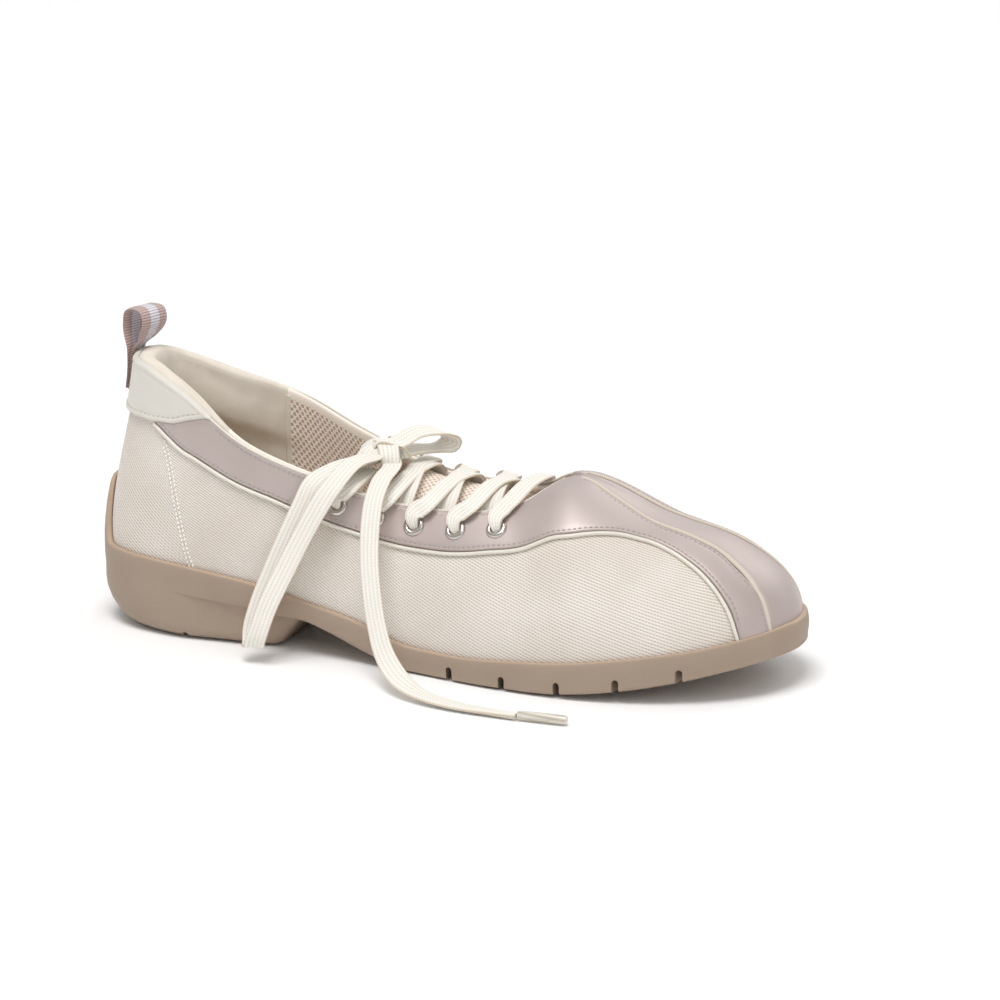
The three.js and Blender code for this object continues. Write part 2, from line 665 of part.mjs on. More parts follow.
function eyelet(i, side) {
  const barrel = EYELET_BORE + EYELET_METAL;
  const profile = [
    [EYELET_BORE, -UPPER_WALL + 0.2],
    [barrel, -UPPER_WALL + 0.2],
    [barrel, FLANGE_SEAT],
    [EYELET_RADIUS, FLANGE_SEAT],
    [EYELET_RADIUS - 0.5, FLANGE_SEAT + FLANGE_THICKNESS],
    [EYELET_BORE, FLANGE_SEAT + FLANGE_THICKNESS * 0.8],
    [EYELET_BORE, -UPPER_WALL + 0.2],
  ].map(([radius, height]) => new THREE.Vector2(radius, height));
  return placeOnSurface(new THREE.LatheGeometry(profile, 8), eyeletTurn(i), side, eyeletShare(i));
}

function withEyeletHoles(geometry, sides) {
  let solid = solidOf(geometry);
  for (const side of sides) {
    for (let i = 0; i < EYELET_COUNT; i += 1) {
      const hole = new THREE.CylinderGeometry(
        EYELET_BORE + EYELET_METAL + CLEARANCE,
        EYELET_BORE + EYELET_METAL + CLEARANCE,
        2 * UPPER_WALL + 5,
        8,
      );
      solid = solid.subtract(solidOf(placeOnSurface(hole, eyeletTurn(i), side, eyeletShare(i))));
    }
  }
  return geometryOf(solid);
}

// Lace

// A flat strip along a curve; each row of the route is x, y, z and the way its face looks, in degrees
// from the lateral side (0) over the top (90) to the medial side (180).
const STRIP_SECTION = [
  [0.5, -0.2], [0.5, 0.2], [0.42, 0.5], [-0.42, 0.5], [-0.5, 0.2], [-0.5, -0.2], [-0.42, -0.5], [0.42, -0.5],
];
function strip(route, count, width = LACE_WIDTH, thickness = LACE_THICKNESS) {
  const curve = new THREE.CatmullRomCurve3(route.map(([x, y, z]) => new THREE.Vector3(x, y, z)), false, 'centripetal');
  const faces = route.map((row) => row[3]);
  const points = [];
  for (const t of steps(0, 1, count)) {
    const place = t * (route.length - 1);
    const i = Math.min(route.length - 2, Math.floor(place));
    const face = (mix(faces[i], faces[i + 1], place - i) * Math.PI) / 180;
    const tangent = curve.getTangent(t);
    const normal = new THREE.Vector3(0, -Math.cos(face), Math.sin(face));
    normal.addScaledVector(tangent, -normal.dot(tangent)).normalize();
    const side = tangent.clone().cross(normal);
    for (const [w, h] of STRIP_SECTION) {
      points.push(curve.getPoint(t).addScaledVector(side, w * width).addScaledVector(normal, h * thickness));
    }
  }
  return tube(points, count, STRIP_SECTION.length);
}

function tube(points, count, sides) {
  const triangles = [];
  for (let i = 0; i < count; i += 1) {
    for (let j = 0; j < sides; j += 1) {
      const [a, b] = [i * sides + j, i * sides + ((j + 1) % sides)];
      triangles.push([a, b + sides, b], [a, a + sides, b + sides]);
    }
  }
  const last = count * sides;
  for (let j = 1; j + 1 < sides; j += 1) {
    triangles.push([0, j, j + 1], [last, last + j + 1, last + j]);
  }
  return meshGeometry(points, triangles);
}

const LACE_OVER_EYELET = FLANGE_SEAT + FLANGE_THICKNESS + CLEARANCE + LACE_THICKNESS / 2 + 0.2;
const LACE_OVER_THROAT = 3.5;
const BAR_LEAD = 6;
const faceOf = (normal) => (Math.atan2(normal.z, -normal.y) * 180) / Math.PI;

// The place over an eyelet where its lace starts, and over the rim beside it.
function overEyelet(i, side) {
  const [turn, share] = [eyeletTurn(i), eyeletShare(i)];
  const normal = surfaceNormal(turn, side, share);
  const point = surfacePoint(turn, side, share).addScaledVector(normal, LACE_OVER_EYELET);
  return [...point.toArray(), faceOf(normal)];
}
function overRim(turn, side) {
  const normal = surfaceNormal(turn, side, 0.97);
  const point = surfacePoint(turn, side, 1).addScaledVector(normal, LACE_OVER_EYELET);
  return [point.x, point.y, point.z + 0.6, mix(faceOf(normal), 90, 0.3)];
}

// A bar from over one eyelet across the throat to just short of the far edge.
function laceBar(i, side, farTurn) {
  const near = overRim(eyeletTurn(i) + 2, side);
  const farRim = surfacePoint(farTurn, -side, 1);
  const middle = new THREE.Vector3(near[0], near[1], near[2]).add(farRim).multiplyScalar(0.5);
  const route = [
    overEyelet(i, side),
    near,
    [middle.x, middle.y, Math.max(near[2], farRim.z) + LACE_OVER_THROAT, 90],
    [farRim.x, farRim.y + side * 5.5, farRim.z + 3.2, 90 - side * 15],
  ];
  return strip(route, 7);
}

function laceCross(i) {
  const farTurn = eyeletTurn(i + 1) - 2.5;
  return geometryOf(solidOf(laceBar(i, LATERAL, farTurn)).add(solidOf(laceBar(i, MEDIAL, farTurn))));
}

// The lace from the top eyelet to the knot.
const laceLead = (side, end) => strip([overEyelet(0, side), overRim(eyeletTurn(0) + 1, side), end], 5);

// The knot over the top eyelets, the bow's loops, and the ends: routes laid by hand.
const KNOT = [102, -3, 64];
const KNOT_SIZE = [7.4, 6.8, 5.8];
const BOW_LATERAL = [
  [100.7, -10, 64.6, 60], [98.2, -21, 64.6, 50], [95, -31.6, 58.8, 20], [92.2, -34.9, 53.5, 0],
  [87, -38, 42.6, 0], [82.2, -42, 31, 0], [78, -46, 20.2, 0], [74.6, -48.2, 9, 0],
  [72.6, -46.4, 5.6, -90], [71, -43.6, 9, -180],
  [72.5, -41, 18.1, -180], [76, -37.6, 29.3, -180], [80.4, -34.8, 41.2, -180], [84.6, -32, 51.9, -175],
  [87.2, -29, 58.8, -150], [91.5, -20, 62.1, -120], [96.7, -11, 62.6, -120],
];
const BOW_MEDIAL = [
  [105, 3, 66.9, 50], [109.5, 9, 69.4, 55], [114, 16, 68.2, 70], [117, 21.5, 63.8, 130],
  [113.6, 18, 62.2, 220], [109, 10.5, 63, 230], [105.2, 3.9, 63.5, 230],
];
const END_LATERAL = [
  [107.4, -9.3, 62, 60], [108.4, -21, 59.8, 50], [109.8, -31.5, 54.4, 15], [111.6, -39, 41.2, 0], [114.8, -45, 29.5, 0],
  [118.4, -49.5, 19.4, 5], [123.4, -55, 11.2, 25], [131.5, -61.6, 5.4, 60], [141.1, -65.9, 2.2, 85],
  [153.4, -69, 1.1, 90], [166.3, -71, 1.1, 90], [177, -72.2, 1.1, 90],
];
const TIP_LATERAL = [[177.6, -72.25, 1.6], [194.2, -71.6, 1.6]];
const TIP_RADIUS = 1.5;
const LEAD_ENDS = { [LATERAL]: [98.9, -8.1, 59.4, 75], [MEDIAL]: [100, 3, 60.7, 105] };

function knot() {
  const ball = new THREE.SphereGeometry(1, 12, 8);
  return ball.scale(...KNOT_SIZE).translate(...KNOT);
}

function laceTip() {
  const line = new THREE.LineCurve3(...TIP_LATERAL.map((row) => new THREE.Vector3(...row)));
  const section = new THREE.Shape().absarc(0, 0, TIP_RADIUS, 0, 2 * Math.PI);
  return new THREE.ExtrudeGeometry(section, { steps: 1, extrudePath: line, curveSegments: 8 });
}

// Pull loop: a ribbon sewn down behind the heel, folded over into a loop.
function pullLoop() {
  const heel = (share, offset) =>
    surfacePoint(0, LATERAL, share).addScaledVector(surfaceNormal(0, LATERAL, share), offset);
  const inner = OVERLAY_GAP + TAB_THICKNESS + CLEARANCE + RIBBON_THICKNESS / 2;
  const outer = inner + RIBBON_THICKNESS + CLEARANCE;
  const top = surfacePoint(0, LATERAL, 1);
  const crest = top.z + LOOP_RISE;
  const points = [
    heel(0.8, inner), heel(0.9, inner), heel(1, inner),
    new THREE.Vector3(top.x + 1.2, 0, top.z + 4), new THREE.Vector3(top.x + 4.6, 0, crest - 5),
    new THREE.Vector3(top.x + 3.4, 0, crest - 1.2), new THREE.Vector3(top.x, 0, crest - RIBBON_THICKNESS / 2),
    new THREE.Vector3(top.x - 3.6, 0, crest - 1.8), new THREE.Vector3(top.x - 4.6, 0, crest - 6),
    heel(1, outer + 0.4), heel(0.9, outer), heel(0.8, outer),
  ];
  const curve = new THREE.CatmullRomCurve3(points, false, 'centripetal');
  const count = 22;
  const corners = [];
  for (const t of steps(0, 1, count)) {
    const tangent = curve.getTangent(t);
    const normal = new THREE.Vector3(0, 1, 0).cross(tangent).normalize();
    for (const [w, h] of [[0.5, -0.5], [0.5, 0.5], [-0.5, 0.5], [-0.5, -0.5]]) {
      const corner = curve.getPoint(t).addScaledVector(normal, h * RIBBON_THICKNESS);
      corner.y += w * RIBBON_WIDTH;
      corners.push(corner);
    }
  }
  return tube(corners, count, 4);
}

// Model

const model = new THREE.Group();
model.position.x = -HEEL_REST_X;
function add(name, geometry, color, roughness, metalness = 0) {
  const material = new THREE.MeshStandardMaterial({ color, roughness, metalness });
  const mesh = new THREE.Mesh(geometry, material);
  mesh.name = name;
  model.add(mesh);
}

add('sole', sole(), 0xa8957f, 0.75);
add('upper', withEyeletHoles(upperShell(), [LATERAL, MEDIAL]), 0xd9d3c4, 0.9);
add('insole', insole(), 0xcdbda8, 0.95);
add('tongue', tongue(), 0xd9c3b0, 0.95);
add('toe_band', toeBand(), 0xc4b5b1, 0.4);
add('heel_tab', heelTab(), 0xe2ddcf, 0.5);
add('pull_loop', pullLoop(), 0xb9a19a, 0.9);
for (const [side, word] of [[LATERAL, 'lateral'], [MEDIAL, 'medial']]) {
  add(`satin_${word}`, withEyeletHoles(satinPanel(side), [side]), 0xc4b5b1, 0.4);
  add(`piping_${word}`, bead(PIPING_LINE, side, PIPING_START, PIPING_END), 0xe9e4d6, 0.5);
  add(`toe_seam_${word}`, bead(TOE_SEAM, side, SEAM_START, SEAM_END), 0xd6ccb8, 0.7);
  for (let i = 0; i < EYELET_COUNT; i += 1) {
    add(`eyelet_${word}_${i + 1}`, eyelet(i, side), 0xb9b4ad, 0.3, 1);
  }
}
const LACE_COLOR = 0xddd8c9;
for (let i = 1; i + 1 < EYELET_COUNT; i += 1) add(`lace_cross_${i}`, laceCross(i), LACE_COLOR, 0.95);
add('lace_bar', laceBar(EYELET_COUNT - 1, LATERAL, eyeletTurn(EYELET_COUNT - 1) + BAR_LEAD), LACE_COLOR, 0.95);
add('lace_knot', knot(), LACE_COLOR, 0.95);
add('lace_lead_lateral', laceLead(LATERAL, LEAD_ENDS[LATERAL]), LACE_COLOR, 0.95);
add('lace_lead_medial', laceLead(MEDIAL, LEAD_ENDS[MEDIAL]), LACE_COLOR, 0.95);
add('bow_loop_lateral', strip(BOW_LATERAL, 26), LACE_COLOR, 0.95);
add('bow_loop_medial', strip(BOW_MEDIAL, 12), LACE_COLOR, 0.95);
add('lace_end_lateral', strip(END_LATERAL, 16), LACE_COLOR, 0.95);
add('lace_tip', laceTip(), 0xe4e0d4, 0.2);

export default model;
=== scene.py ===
"""Low lace-up sneaker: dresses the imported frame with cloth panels, cords, lace, sole and a studio."""
import math

import bmesh
import bpy
import numpy as np
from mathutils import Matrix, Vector


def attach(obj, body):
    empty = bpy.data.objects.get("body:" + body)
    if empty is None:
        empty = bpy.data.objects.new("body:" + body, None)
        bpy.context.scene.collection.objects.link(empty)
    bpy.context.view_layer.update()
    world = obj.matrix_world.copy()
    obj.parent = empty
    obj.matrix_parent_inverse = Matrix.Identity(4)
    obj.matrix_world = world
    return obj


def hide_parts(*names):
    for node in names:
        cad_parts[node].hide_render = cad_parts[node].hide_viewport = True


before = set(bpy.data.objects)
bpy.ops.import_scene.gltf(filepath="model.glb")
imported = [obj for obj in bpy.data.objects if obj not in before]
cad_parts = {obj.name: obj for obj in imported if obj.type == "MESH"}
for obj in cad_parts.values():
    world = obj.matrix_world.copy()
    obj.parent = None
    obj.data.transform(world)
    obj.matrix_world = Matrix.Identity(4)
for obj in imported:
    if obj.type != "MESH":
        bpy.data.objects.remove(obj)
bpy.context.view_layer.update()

bl_info = {
    "name": "Low lace-up sneaker",
    "version": (1, 0, 0),
    "blender": (4, 5, 0),
    "location": "View3D > Sidebar > Sneaker",
    "description": "Makes the cloth, cords, lace, sole and studio of one low lace-up sneaker",
    "category": "Add Mesh",
}

# Lengths are in millimetres of the shoe, counted from the back of the sole, until a mesh is made.
MM = 0.001
LATERAL = -1
MEDIAL = 1

SOLE_LENGTH = 250.0
HEEL_REST_X = 58.0
BALL_WIDTH = 88.0
COLLAR_HEIGHT = 92.0
INSTEP_HEIGHT = 62.0
HEEL_SEAT = 27.0
FOREFOOT_SEAT = 9.0
TOE_SPRING = 14.0
UPPER_WALL = 2.2
COLLAR_PAD = 4.0
LIP_WALL = 2.2
LIP_DEPTH = 4.5
TOE_LIP_REACH = 4.0
TOE_LIP_LEAN = 0.05
HEEL_FLANGE = 21.0
ARCH_LIFT = 10.6
BLOCK_STEP = 5.0
GROOVE_COUNT = 5
GROOVE_PITCH = 19.8
FIRST_GROOVE = 141.0
HEEL_GROOVE = 40.0
CLEARANCE = 0.3
PANEL_SEAT = 0.46
LACE_WIDTH = 7.0
LACE_THICKNESS = 1.3
VAMP_TURN = 120.0
LAST_TURN = 178.0

# One row for each 15 degrees of turn round the plan, heel 0 to toe 180.
# edge, rimY and swell are shares of the ball width, rimX of the length; the rim's height is
# collar x collar height + instep x instep height; the rest shape the rib between them.
ROW_STEP = 15.0
COLUMNS = ("edge", "rimX", "rimY", "collar", "instep", "rise", "swell", "reach", "drop")
RIBS = {
    LATERAL: (
        (0.000, 0.052, 0.000, 0.995, 0.000, 0.36, 0.010, 0.20, 0.34),
        (0.177, 0.062, 0.130, 0.990, 0.000, 0.36, 0.012, 0.18, 0.34),
        (0.295, 0.100, 0.222, 0.975, 0.000, 0.36, 0.018, 0.12, 0.34),
        (0.352, 0.160, 0.267, 0.897, 0.000, 0.37, 0.024, 0.08, 0.34),
        (0.369, 0.244, 0.295, 0.750, 0.000, 0.38, 0.030, 0.05, 0.34),
        (0.386, 0.352, 0.278, 0.430, 0.320, 0.42, 0.036, 0.10, 0.30),
        (0.438, 0.470, 0.222, 0.100, 0.685, 0.48, 0.030, 0.25, 0.20),
        (0.511, 0.604, 0.190, 0.000, 0.850, 0.50, 0.020, 0.36, 0.10),
        (0.528, 0.688, -0.020, 0.000, 1.000, 0.52, 0.015, 0.52, 0.02),
        (0.466, 0.796, -0.025, 0.000, 0.831, 0.55, 0.010, 0.55, 0.01),
        (0.347, 0.892, -0.028, 0.000, 0.722, 0.56, 0.005, 0.56, 0.00),
        (0.185, 0.963, -0.030, 0.000, 0.540, 0.56, 0.000, 0.56, 0.00),
        (0.000, 0.988, -0.030, 0.000, 0.310, 0.50, 0.000, 0.50, 0.00),
    ),
    MEDIAL: (
        (0.000, 0.052, 0.000, 0.995, 0.000, 0.36, 0.010, 0.20, 0.34),
        (0.177, 0.062, 0.130, 0.973, 0.000, 0.36, 0.012, 0.18, 0.34),
        (0.295, 0.100, 0.222, 0.926, 0.000, 0.36, 0.018, 0.12, 0.34),
        (0.347, 0.160, 0.278, 0.864, 0.000, 0.37, 0.024, 0.08, 0.34),
        (0.330, 0.244, 0.307, 0.793, 0.000, 0.38, 0.024, 0.00, 0.34),
        (0.301, 0.344, 0.267, 0.470, 0.320, 0.42, 0.030, 0.00, 0.30),
        (0.318, 0.464, 0.222, 0.110, 0.710, 0.48, 0.030, 0.15, 0.20),
        (0.403, 0.600, 0.190, 0.000, 0.855, 0.50, 0.020, 0.36, 0.10),
        (0.466, 0.688, 0.020, 0.000, 1.000, 0.52, 0.015, 0.52, 0.02),
        (0.443, 0.796, 0.025, 0.000, 0.831, 0.55, 0.010, 0.55, 0.01),
        (0.341, 0.892, 0.028, 0.000, 0.722, 0.56, 0.005, 0.56, 0.00),
        (0.191, 0.963, 0.030, 0.000, 0.540, 0.56, 0.000, 0.56, 0.00),
        (0.000, 0.988, 0.030, 0.000, 0.310, 0.50, 0.000, 0.50, 0.00),
    ),
}
# How a column goes on past the heel and the toe: mirrored, turned over, or (0) straight on.
HEEL_END = dict(edge=-1, rimX=1, rimY=-1, collar=1, instep=1, rise=1, swell=1, reach=1, drop=1)
TOE_END = dict(edge=-1, rimX=1, rimY=1, collar=1, instep=0, rise=1, swell=1, reach=1, drop=1)

# Shares of the sole's length, then shares of the named heights.
SEAT_ROWS = (
    (0.00, 1.00, 0.00), (0.10, 0.98, 0.00), (0.17, 0.94, 0.00), (0.27, 0.80, 0.12),
    (0.35, 0.56, 0.35), (0.42, 0.28, 0.80), (0.49, 0.06, 0.80), (0.58, 0.00, 0.93),
    (0.73, 0.00, 1.30), (0.90, 0.00, 1.97), (1.00, 0.00, 2.50),
)
TREAD_ROWS = (
    (0.000, 0, 0), (0.296, 0, 0), (0.322, 0.99, 0), (0.340, 1, 0), (0.376, 0.81, 0), (0.408, 0.55, 0),
    (0.448, 0.25, 0), (0.488, 0, 0), (0.700, 0, 0), (0.760, 0, 0.11), (0.820, 0, 0.28), (0.880, 0, 0.50),
    (0.940, 0, 0.75), (1.000, 0, 1.00),
)
BAND_ROWS = (
    (0.00, 0.80, 0), (0.15, 0.74, 0), (0.20, 0.73, 0.30), (0.27, 0.76, 0.62), (0.30, 0.76, 1.00),
    (0.325, 0.42, 0.90), (0.36, 0.30, 0.30), (0.42, 0.30, 0.05), (0.50, 0.35, 0), (1.00, 0.35, 0),
)
EDGE_ROWS = (
    (0, 21, 16), (15, 17, 14), (30, 8, 8), (45, 4.5, 5), (60, 4, 4.5), (150, 3, 3), (165, 6, 5), (180, 9, 6),
)

# The lines that part the panels, as turn and share of the rib.
PIPING_LINE = (
    (34, 0.74), (44, 0.68), (54, 0.69), (66, 0.70), (76, 0.66), (86, 0.64), (96, 0.625), (104, 0.635),
    (111, 0.595), (118, 0.565), (122.5, 0.61), (128, 0.68), (133.5, 0.72), (138, 0.68), (143.5, 0.58),
    (148, 0.45), (152, 0.28), (154, 0.08), (154.8, 0),
)
TOE_SEAM = (
    (120, 0.955), (125, 0.895), (132, 0.88), (140, 0.87), (148, 0.81), (155, 0.69), (161, 0.49),
    (164.5, 0.17), (165.3, 0),
)
TAB_EDGE = ((0, 0.76), (15, 0.73), (24, 0.73), (33, 0.75), (41, 0.80), (47.5, 0.905), (52, 1))
HEEL_SEAM = ((38.2, 0.685), (41, 0.57), (44, 0.405), (47.2, 0.175), (49.5, 0.0))
PIPING_START = 33.6
PIPING_END = 154.6
SEAM_START = 120.4
SEAM_END = 165.1
TAB_TURN = 51.6
LINING_SEAM = 56.0
# Degrees that the rows of the cloth are turned from the way along the shoe.
HEEL_GRAIN = -44.0
SIDE_GRAIN = 24.0


def smooth(t):
    t = np.clip(t, 0, 1)
    return t * t * (3 - 2 * t)


def rib_table(name):
    """Both sides' column of the rib table, carried on by two rows at each end."""
    k = COLUMNS.index(name)
    sides = []
    for side in (LATERAL, MEDIAL):
        rows = [row[k] for row in RIBS[side]]
        before = [HEEL_END[name] * rows[i] for i in (2, 1)]
        if TOE_END[name] == 0:
            after = [2 * rows[-1] - rows[-1 - i] for i in (1, 2)]
        else:
            after = [TOE_END[name] * rows[-1 - i] for i in (1, 2)]
        sides.append(before + rows + after)
    return np.array(sides)


RIB_TABLES = {name: rib_table(name) for name in COLUMNS}
LAST_ROW = len(RIBS[LATERAL]) - 1


def rib(name, turn, side):
    """A Catmull-Rom value of a rib column at each turn and side."""
    place = turn / ROW_STEP
    i = np.clip(np.floor(place), -1, LAST_ROW).astype(int)
    t = place - i
    which = (side > 0).astype(int)
    a, b, c, d = (RIB_TABLES[name][which, i + k] for k in (1, 2, 3, 4))
    return b + 0.5 * t * (c - a + t * (2 * a - 5 * b + 4 * c - d + t * (3 * (b - c) + d - a)))


def between(rows, place, column, blur=0.0):
    """A column of a table at each place, its corners rounded over blur on each side."""
    table = np.array(rows, float)
    taps = np.linspace(-blur, blur, 7) if blur else (0.0,)
    return sum(np.interp(place + tap, table[:, 0], table[:, column]) for tap in taps) / len(taps)


def seat_height(x):
    place = x / SOLE_LENGTH
    rise = HEEL_SEAT * between(SEAT_ROWS, place, 1, 0.02)
    return rise + FOREFOOT_SEAT * between(SEAT_ROWS, place, 2, 0.02)


def tread_height(x):
    place = x / SOLE_LENGTH
    rise = ARCH_LIFT * between(TREAD_ROWS, place, 1, 0.008)
    return rise + TOE_SPRING * between(TREAD_ROWS, place, 2, 0.02)


def outline(turn, side):
    x = 0.5 * SOLE_LENGTH * (1 - np.cos(np.radians(turn)))
    return x, side * BALL_WIDTH * rib("edge", turn, side)


def inset_outline(turn, side, distance):
    """The sole's plan outline moved inward by a distance."""
    step = 0.5
    ax, ay = outline(turn + step, side)
    bx, by = outline(turn - step, side)
    tx, ty = ax - bx, ay - by
    length = np.hypot(tx, ty)
    x, y = outline(turn, side)
    return x + side * distance * ty / length, y - side * distance * tx / length


def rim_height(turn, side):
    turn = np.minimum(turn, 179.9)
    return COLLAR_HEIGHT * rib("collar", turn, side) + INSTEP_HEIGHT * rib("instep", turn, side)


def spine_slope(turn, side):
    step = 0.5
    dz = rim_height(turn + step, side) - rim_height(turn - step, side)
    dx = SOLE_LENGTH * (rib("rimX", turn + step, side) - rib("rimX", turn - step, side))
    return dz / np.maximum(dx, 1e-3)


def rib_points(turn, side):
    """The four control points of the rib at each turn."""
    edge = LIP_WALL + CLEARANCE
    bx, by = inset_outline(turn, side, edge)
    base = np.stack([bx, by, seat_height(bx) - LIP_DEPTH], -1)
    rim = np.stack(
        [
            SOLE_LENGTH * rib("rimX", turn, side),
            side * BALL_WIDTH * rib("rimY", turn, side),
            rim_height(turn, side),
        ],
        -1,
    )
    height = rim[..., 2] - base[..., 2]
    ox, oy = inset_outline(turn, side, edge - 1)
    swell = BALL_WIDTH * rib("swell", turn, side)
    low_z = base[..., 2] + height * rib("rise", turn, side)
    low = np.stack([bx + (ox - bx) * swell, by + (oy - by) * swell, low_z], -1)
    reach = rib("reach", turn, side)
    on_spine = smooth((turn - VAMP_TURN + ROW_STEP) / ROW_STEP)
    dx = (bx - rim[..., 0]) * reach
    high_z = rim[..., 2] - height * rib("drop", turn, side)
    high_z = high_z + on_spine * dx * spine_slope(np.minimum(turn, LAST_TURN), side)
    high = np.stack([rim[..., 0] + dx, rim[..., 1] + (by - rim[..., 1]) * reach, high_z], -1)
    return base, low, high, rim


def surface(turn, side, share):
    """Points of the last's surface."""
    turn, side, share = np.broadcast_arrays(np.asarray(turn, float), np.asarray(side, float), share)
    a, b, c, d = rib_points(turn, side)
    t = share[..., None]
    s = 1 - t
    return a * s**3 + b * 3 * s * s * t + c * 3 * s * t * t + d * t**3


def unit(v):
    return v / np.maximum(np.linalg.norm(v, axis=-1, keepdims=True), 1e-9)


def rib_direction(turn, side, share):
    """The way the rib climbs, and the millimetres for a whole share."""
    low = np.maximum(share - 0.01, 0)
    high = np.minimum(share + 0.01, 1)
    climb = (surface(turn, side, high) - surface(turn, side, low)) / (high - low)[..., None]
    return climb


def normal(turn, side, share):
    turn, side, share = np.broadcast_arrays(np.asarray(turn, float), np.asarray(side, float), share)
    step = 0.25
    ahead = np.minimum(turn + step, 179.5)
    along = surface(ahead, side, share) - surface(turn - step, side, share)
    return unit(np.cross(along, rib_direction(turn, side, share)) * -side[..., None])


def line_share(line, turn):
    return between(line, turn, 1, 1.6)


def line_speed(line, turn, side):
    """Millimetres across a panel line for a whole share."""
    step = 0.6
    share = line_share(line, turn)
    ahead = surface(turn + step, side, np.clip(line_share(line, turn + step), 0, 1))
    behind = surface(turn - step, side, np.clip(line_share(line, turn - step), 0, 1))
    climb = rib_direction(turn, side, np.clip(share, 0, 1))
    return np.maximum(np.linalg.norm(np.cross(climb, unit(ahead - behind)), axis=-1), 8)


def across(line, turn, side, distance):
    return np.clip(line_share(line, turn) + distance / line_speed(line, turn, side), 0, 1)


# Creases that the cloth has taken: where their middle is, how they run and how deep they are.
# turn, side, share, half length and half width in mm, run in degrees from the rim's way, height in mm.
CREASES = (
    (112, LATERAL, 0.42, 16, 3.2, 62, -0.55),
    (104, LATERAL, 0.34, 15, 3.5, 70, 0.45),
    (118, LATERAL, 0.50, 14, 3.0, 48, 0.40),
    (96, LATERAL, 0.30, 13, 3.5, 78, -0.40),
    (60, LATERAL, 0.40, 17, 4.0, 80, -0.35),
    (70, LATERAL, 0.36, 16, 4.5, 76, 0.35),
    (48, LATERAL, 0.52, 12, 3.5, 30, -0.30),
    (112, MEDIAL, 0.42, 16, 3.2, 62, -0.50),
    (102, MEDIAL, 0.36, 15, 3.5, 70, 0.45),
    (70, MEDIAL, 0.40, 17, 4.5, 78, -0.35),
)


def creases(points):
    """How far each point of the cloth stands out or in."""
    height = np.zeros(points.shape[:-1])
    for turn, side, share, length, width, run, depth in CREASES:
        at = [np.array(float(v)) for v in (turn, side, share)]
        middle = surface(*at)
        out = normal(*at)
        up = unit(rib_direction(*at))
        along = np.cross(up, out) * side
        angle = math.radians(run)
        way = along * math.cos(angle) + up * math.sin(angle)
        off = points - middle
        near_side = smooth((off @ out + 14) / 8)
        l = off @ way / length
        w = off @ np.cross(out, way) / width
        height += depth * np.exp(-(l**2) - w**2) * near_side
    return height


# Meshes

def to_row(points):
    """Millimetres from the back of the sole, to metres in the frame."""
    moved = np.array(points, float)
    moved[..., 0] -= HEEL_REST_X
    return moved * MM


def make_mesh(name, points, faces, uvs=None, merge=1e-5, sharp=math.radians(60)):
    """A closed mesh object at the origin with its normals outward; uvs are metres on the cloth."""
    mesh = bpy.data.meshes.new(name)
    mesh.from_pydata([tuple(p) for p in points], [], faces)
    if uvs is not None:
        layer = mesh.uv_layers.new(name="cloth")
        index = np.zeros(len(mesh.loops), int)
        mesh.loops.foreach_get("vertex_index", index)
        layer.data.foreach_set("uv", np.asarray(uvs, float)[index].ravel())
    work = bmesh.new()
    work.from_mesh(mesh)
    bmesh.ops.remove_doubles(work, verts=work.verts, dist=merge)
    bmesh.ops.dissolve_degenerate(work, edges=work.edges, dist=1e-7)
    bmesh.ops.recalc_face_normals(work, faces=work.faces)
    work.to_mesh(mesh)
    work.free()
    mesh.shade_smooth()
    mesh.set_sharp_from_angle(angle=sharp)
    piece = bpy.data.objects.new(name, mesh)
    bpy.context.collection.objects.link(piece)
    return piece


def grid_faces(rows, columns, start=0, flip=False, wrap=False):
    faces = []
    for i in range(rows if wrap else rows - 1):
        for j in range(columns - 1):
            a = start + i * columns + j
            b = start + ((i + 1) % rows) * columns + j
            quad = (a, b, b + 1, a + 1)
            faces.append(quad[::-1] if flip else quad)
    return faces


def lengths(points, axis):
    """Running length of a grid of points along one of its axes."""
    steps = np.linalg.norm(np.diff(points, axis=axis), axis=-1)
    total = np.cumsum(steps, axis=axis)
    pad = [(0, 0), (0, 0)]
    pad[axis] = (1, 0)
    return np.pad(total, pad)


def cloth_uv(points, anchor=0):
    """Metres along and up the cloth for each point of a grid."""
    run = lengths(points, 0)
    rise = lengths(points, 1)
    middle = run[:, points.shape[1] // 2]
    u = np.repeat(middle[:, None], points.shape[1], 1)
    v = rise - rise[:, anchor][:, None]
    return np.stack([u, v], -1) * MM


def shell(name, turn, side, share, top, bottom, grain=0.0):
    """A closed skin over a grid of places, from its bottom offset to its top offset.

    The cloth's grain is turned from the way along the shoe."""
    points = surface(turn, side, share)
    out = normal(turn, side, share)
    ends = (share >= 0.9999) & (turn > VAMP_TURN)
    out = np.where(ends[..., None], unit(out * np.array([1, 0.25, 1])), out)
    fold = creases(points)
    upper = points + out * (top + fold)[..., None]
    lower = points + out * (bottom + fold)[..., None]
    angle = math.radians(grain)
    twist = np.array([[math.cos(angle), math.sin(angle)], [-math.sin(angle), math.cos(angle)]])
    return skin(name, upper, lower, cloth_uv(points) @ twist)


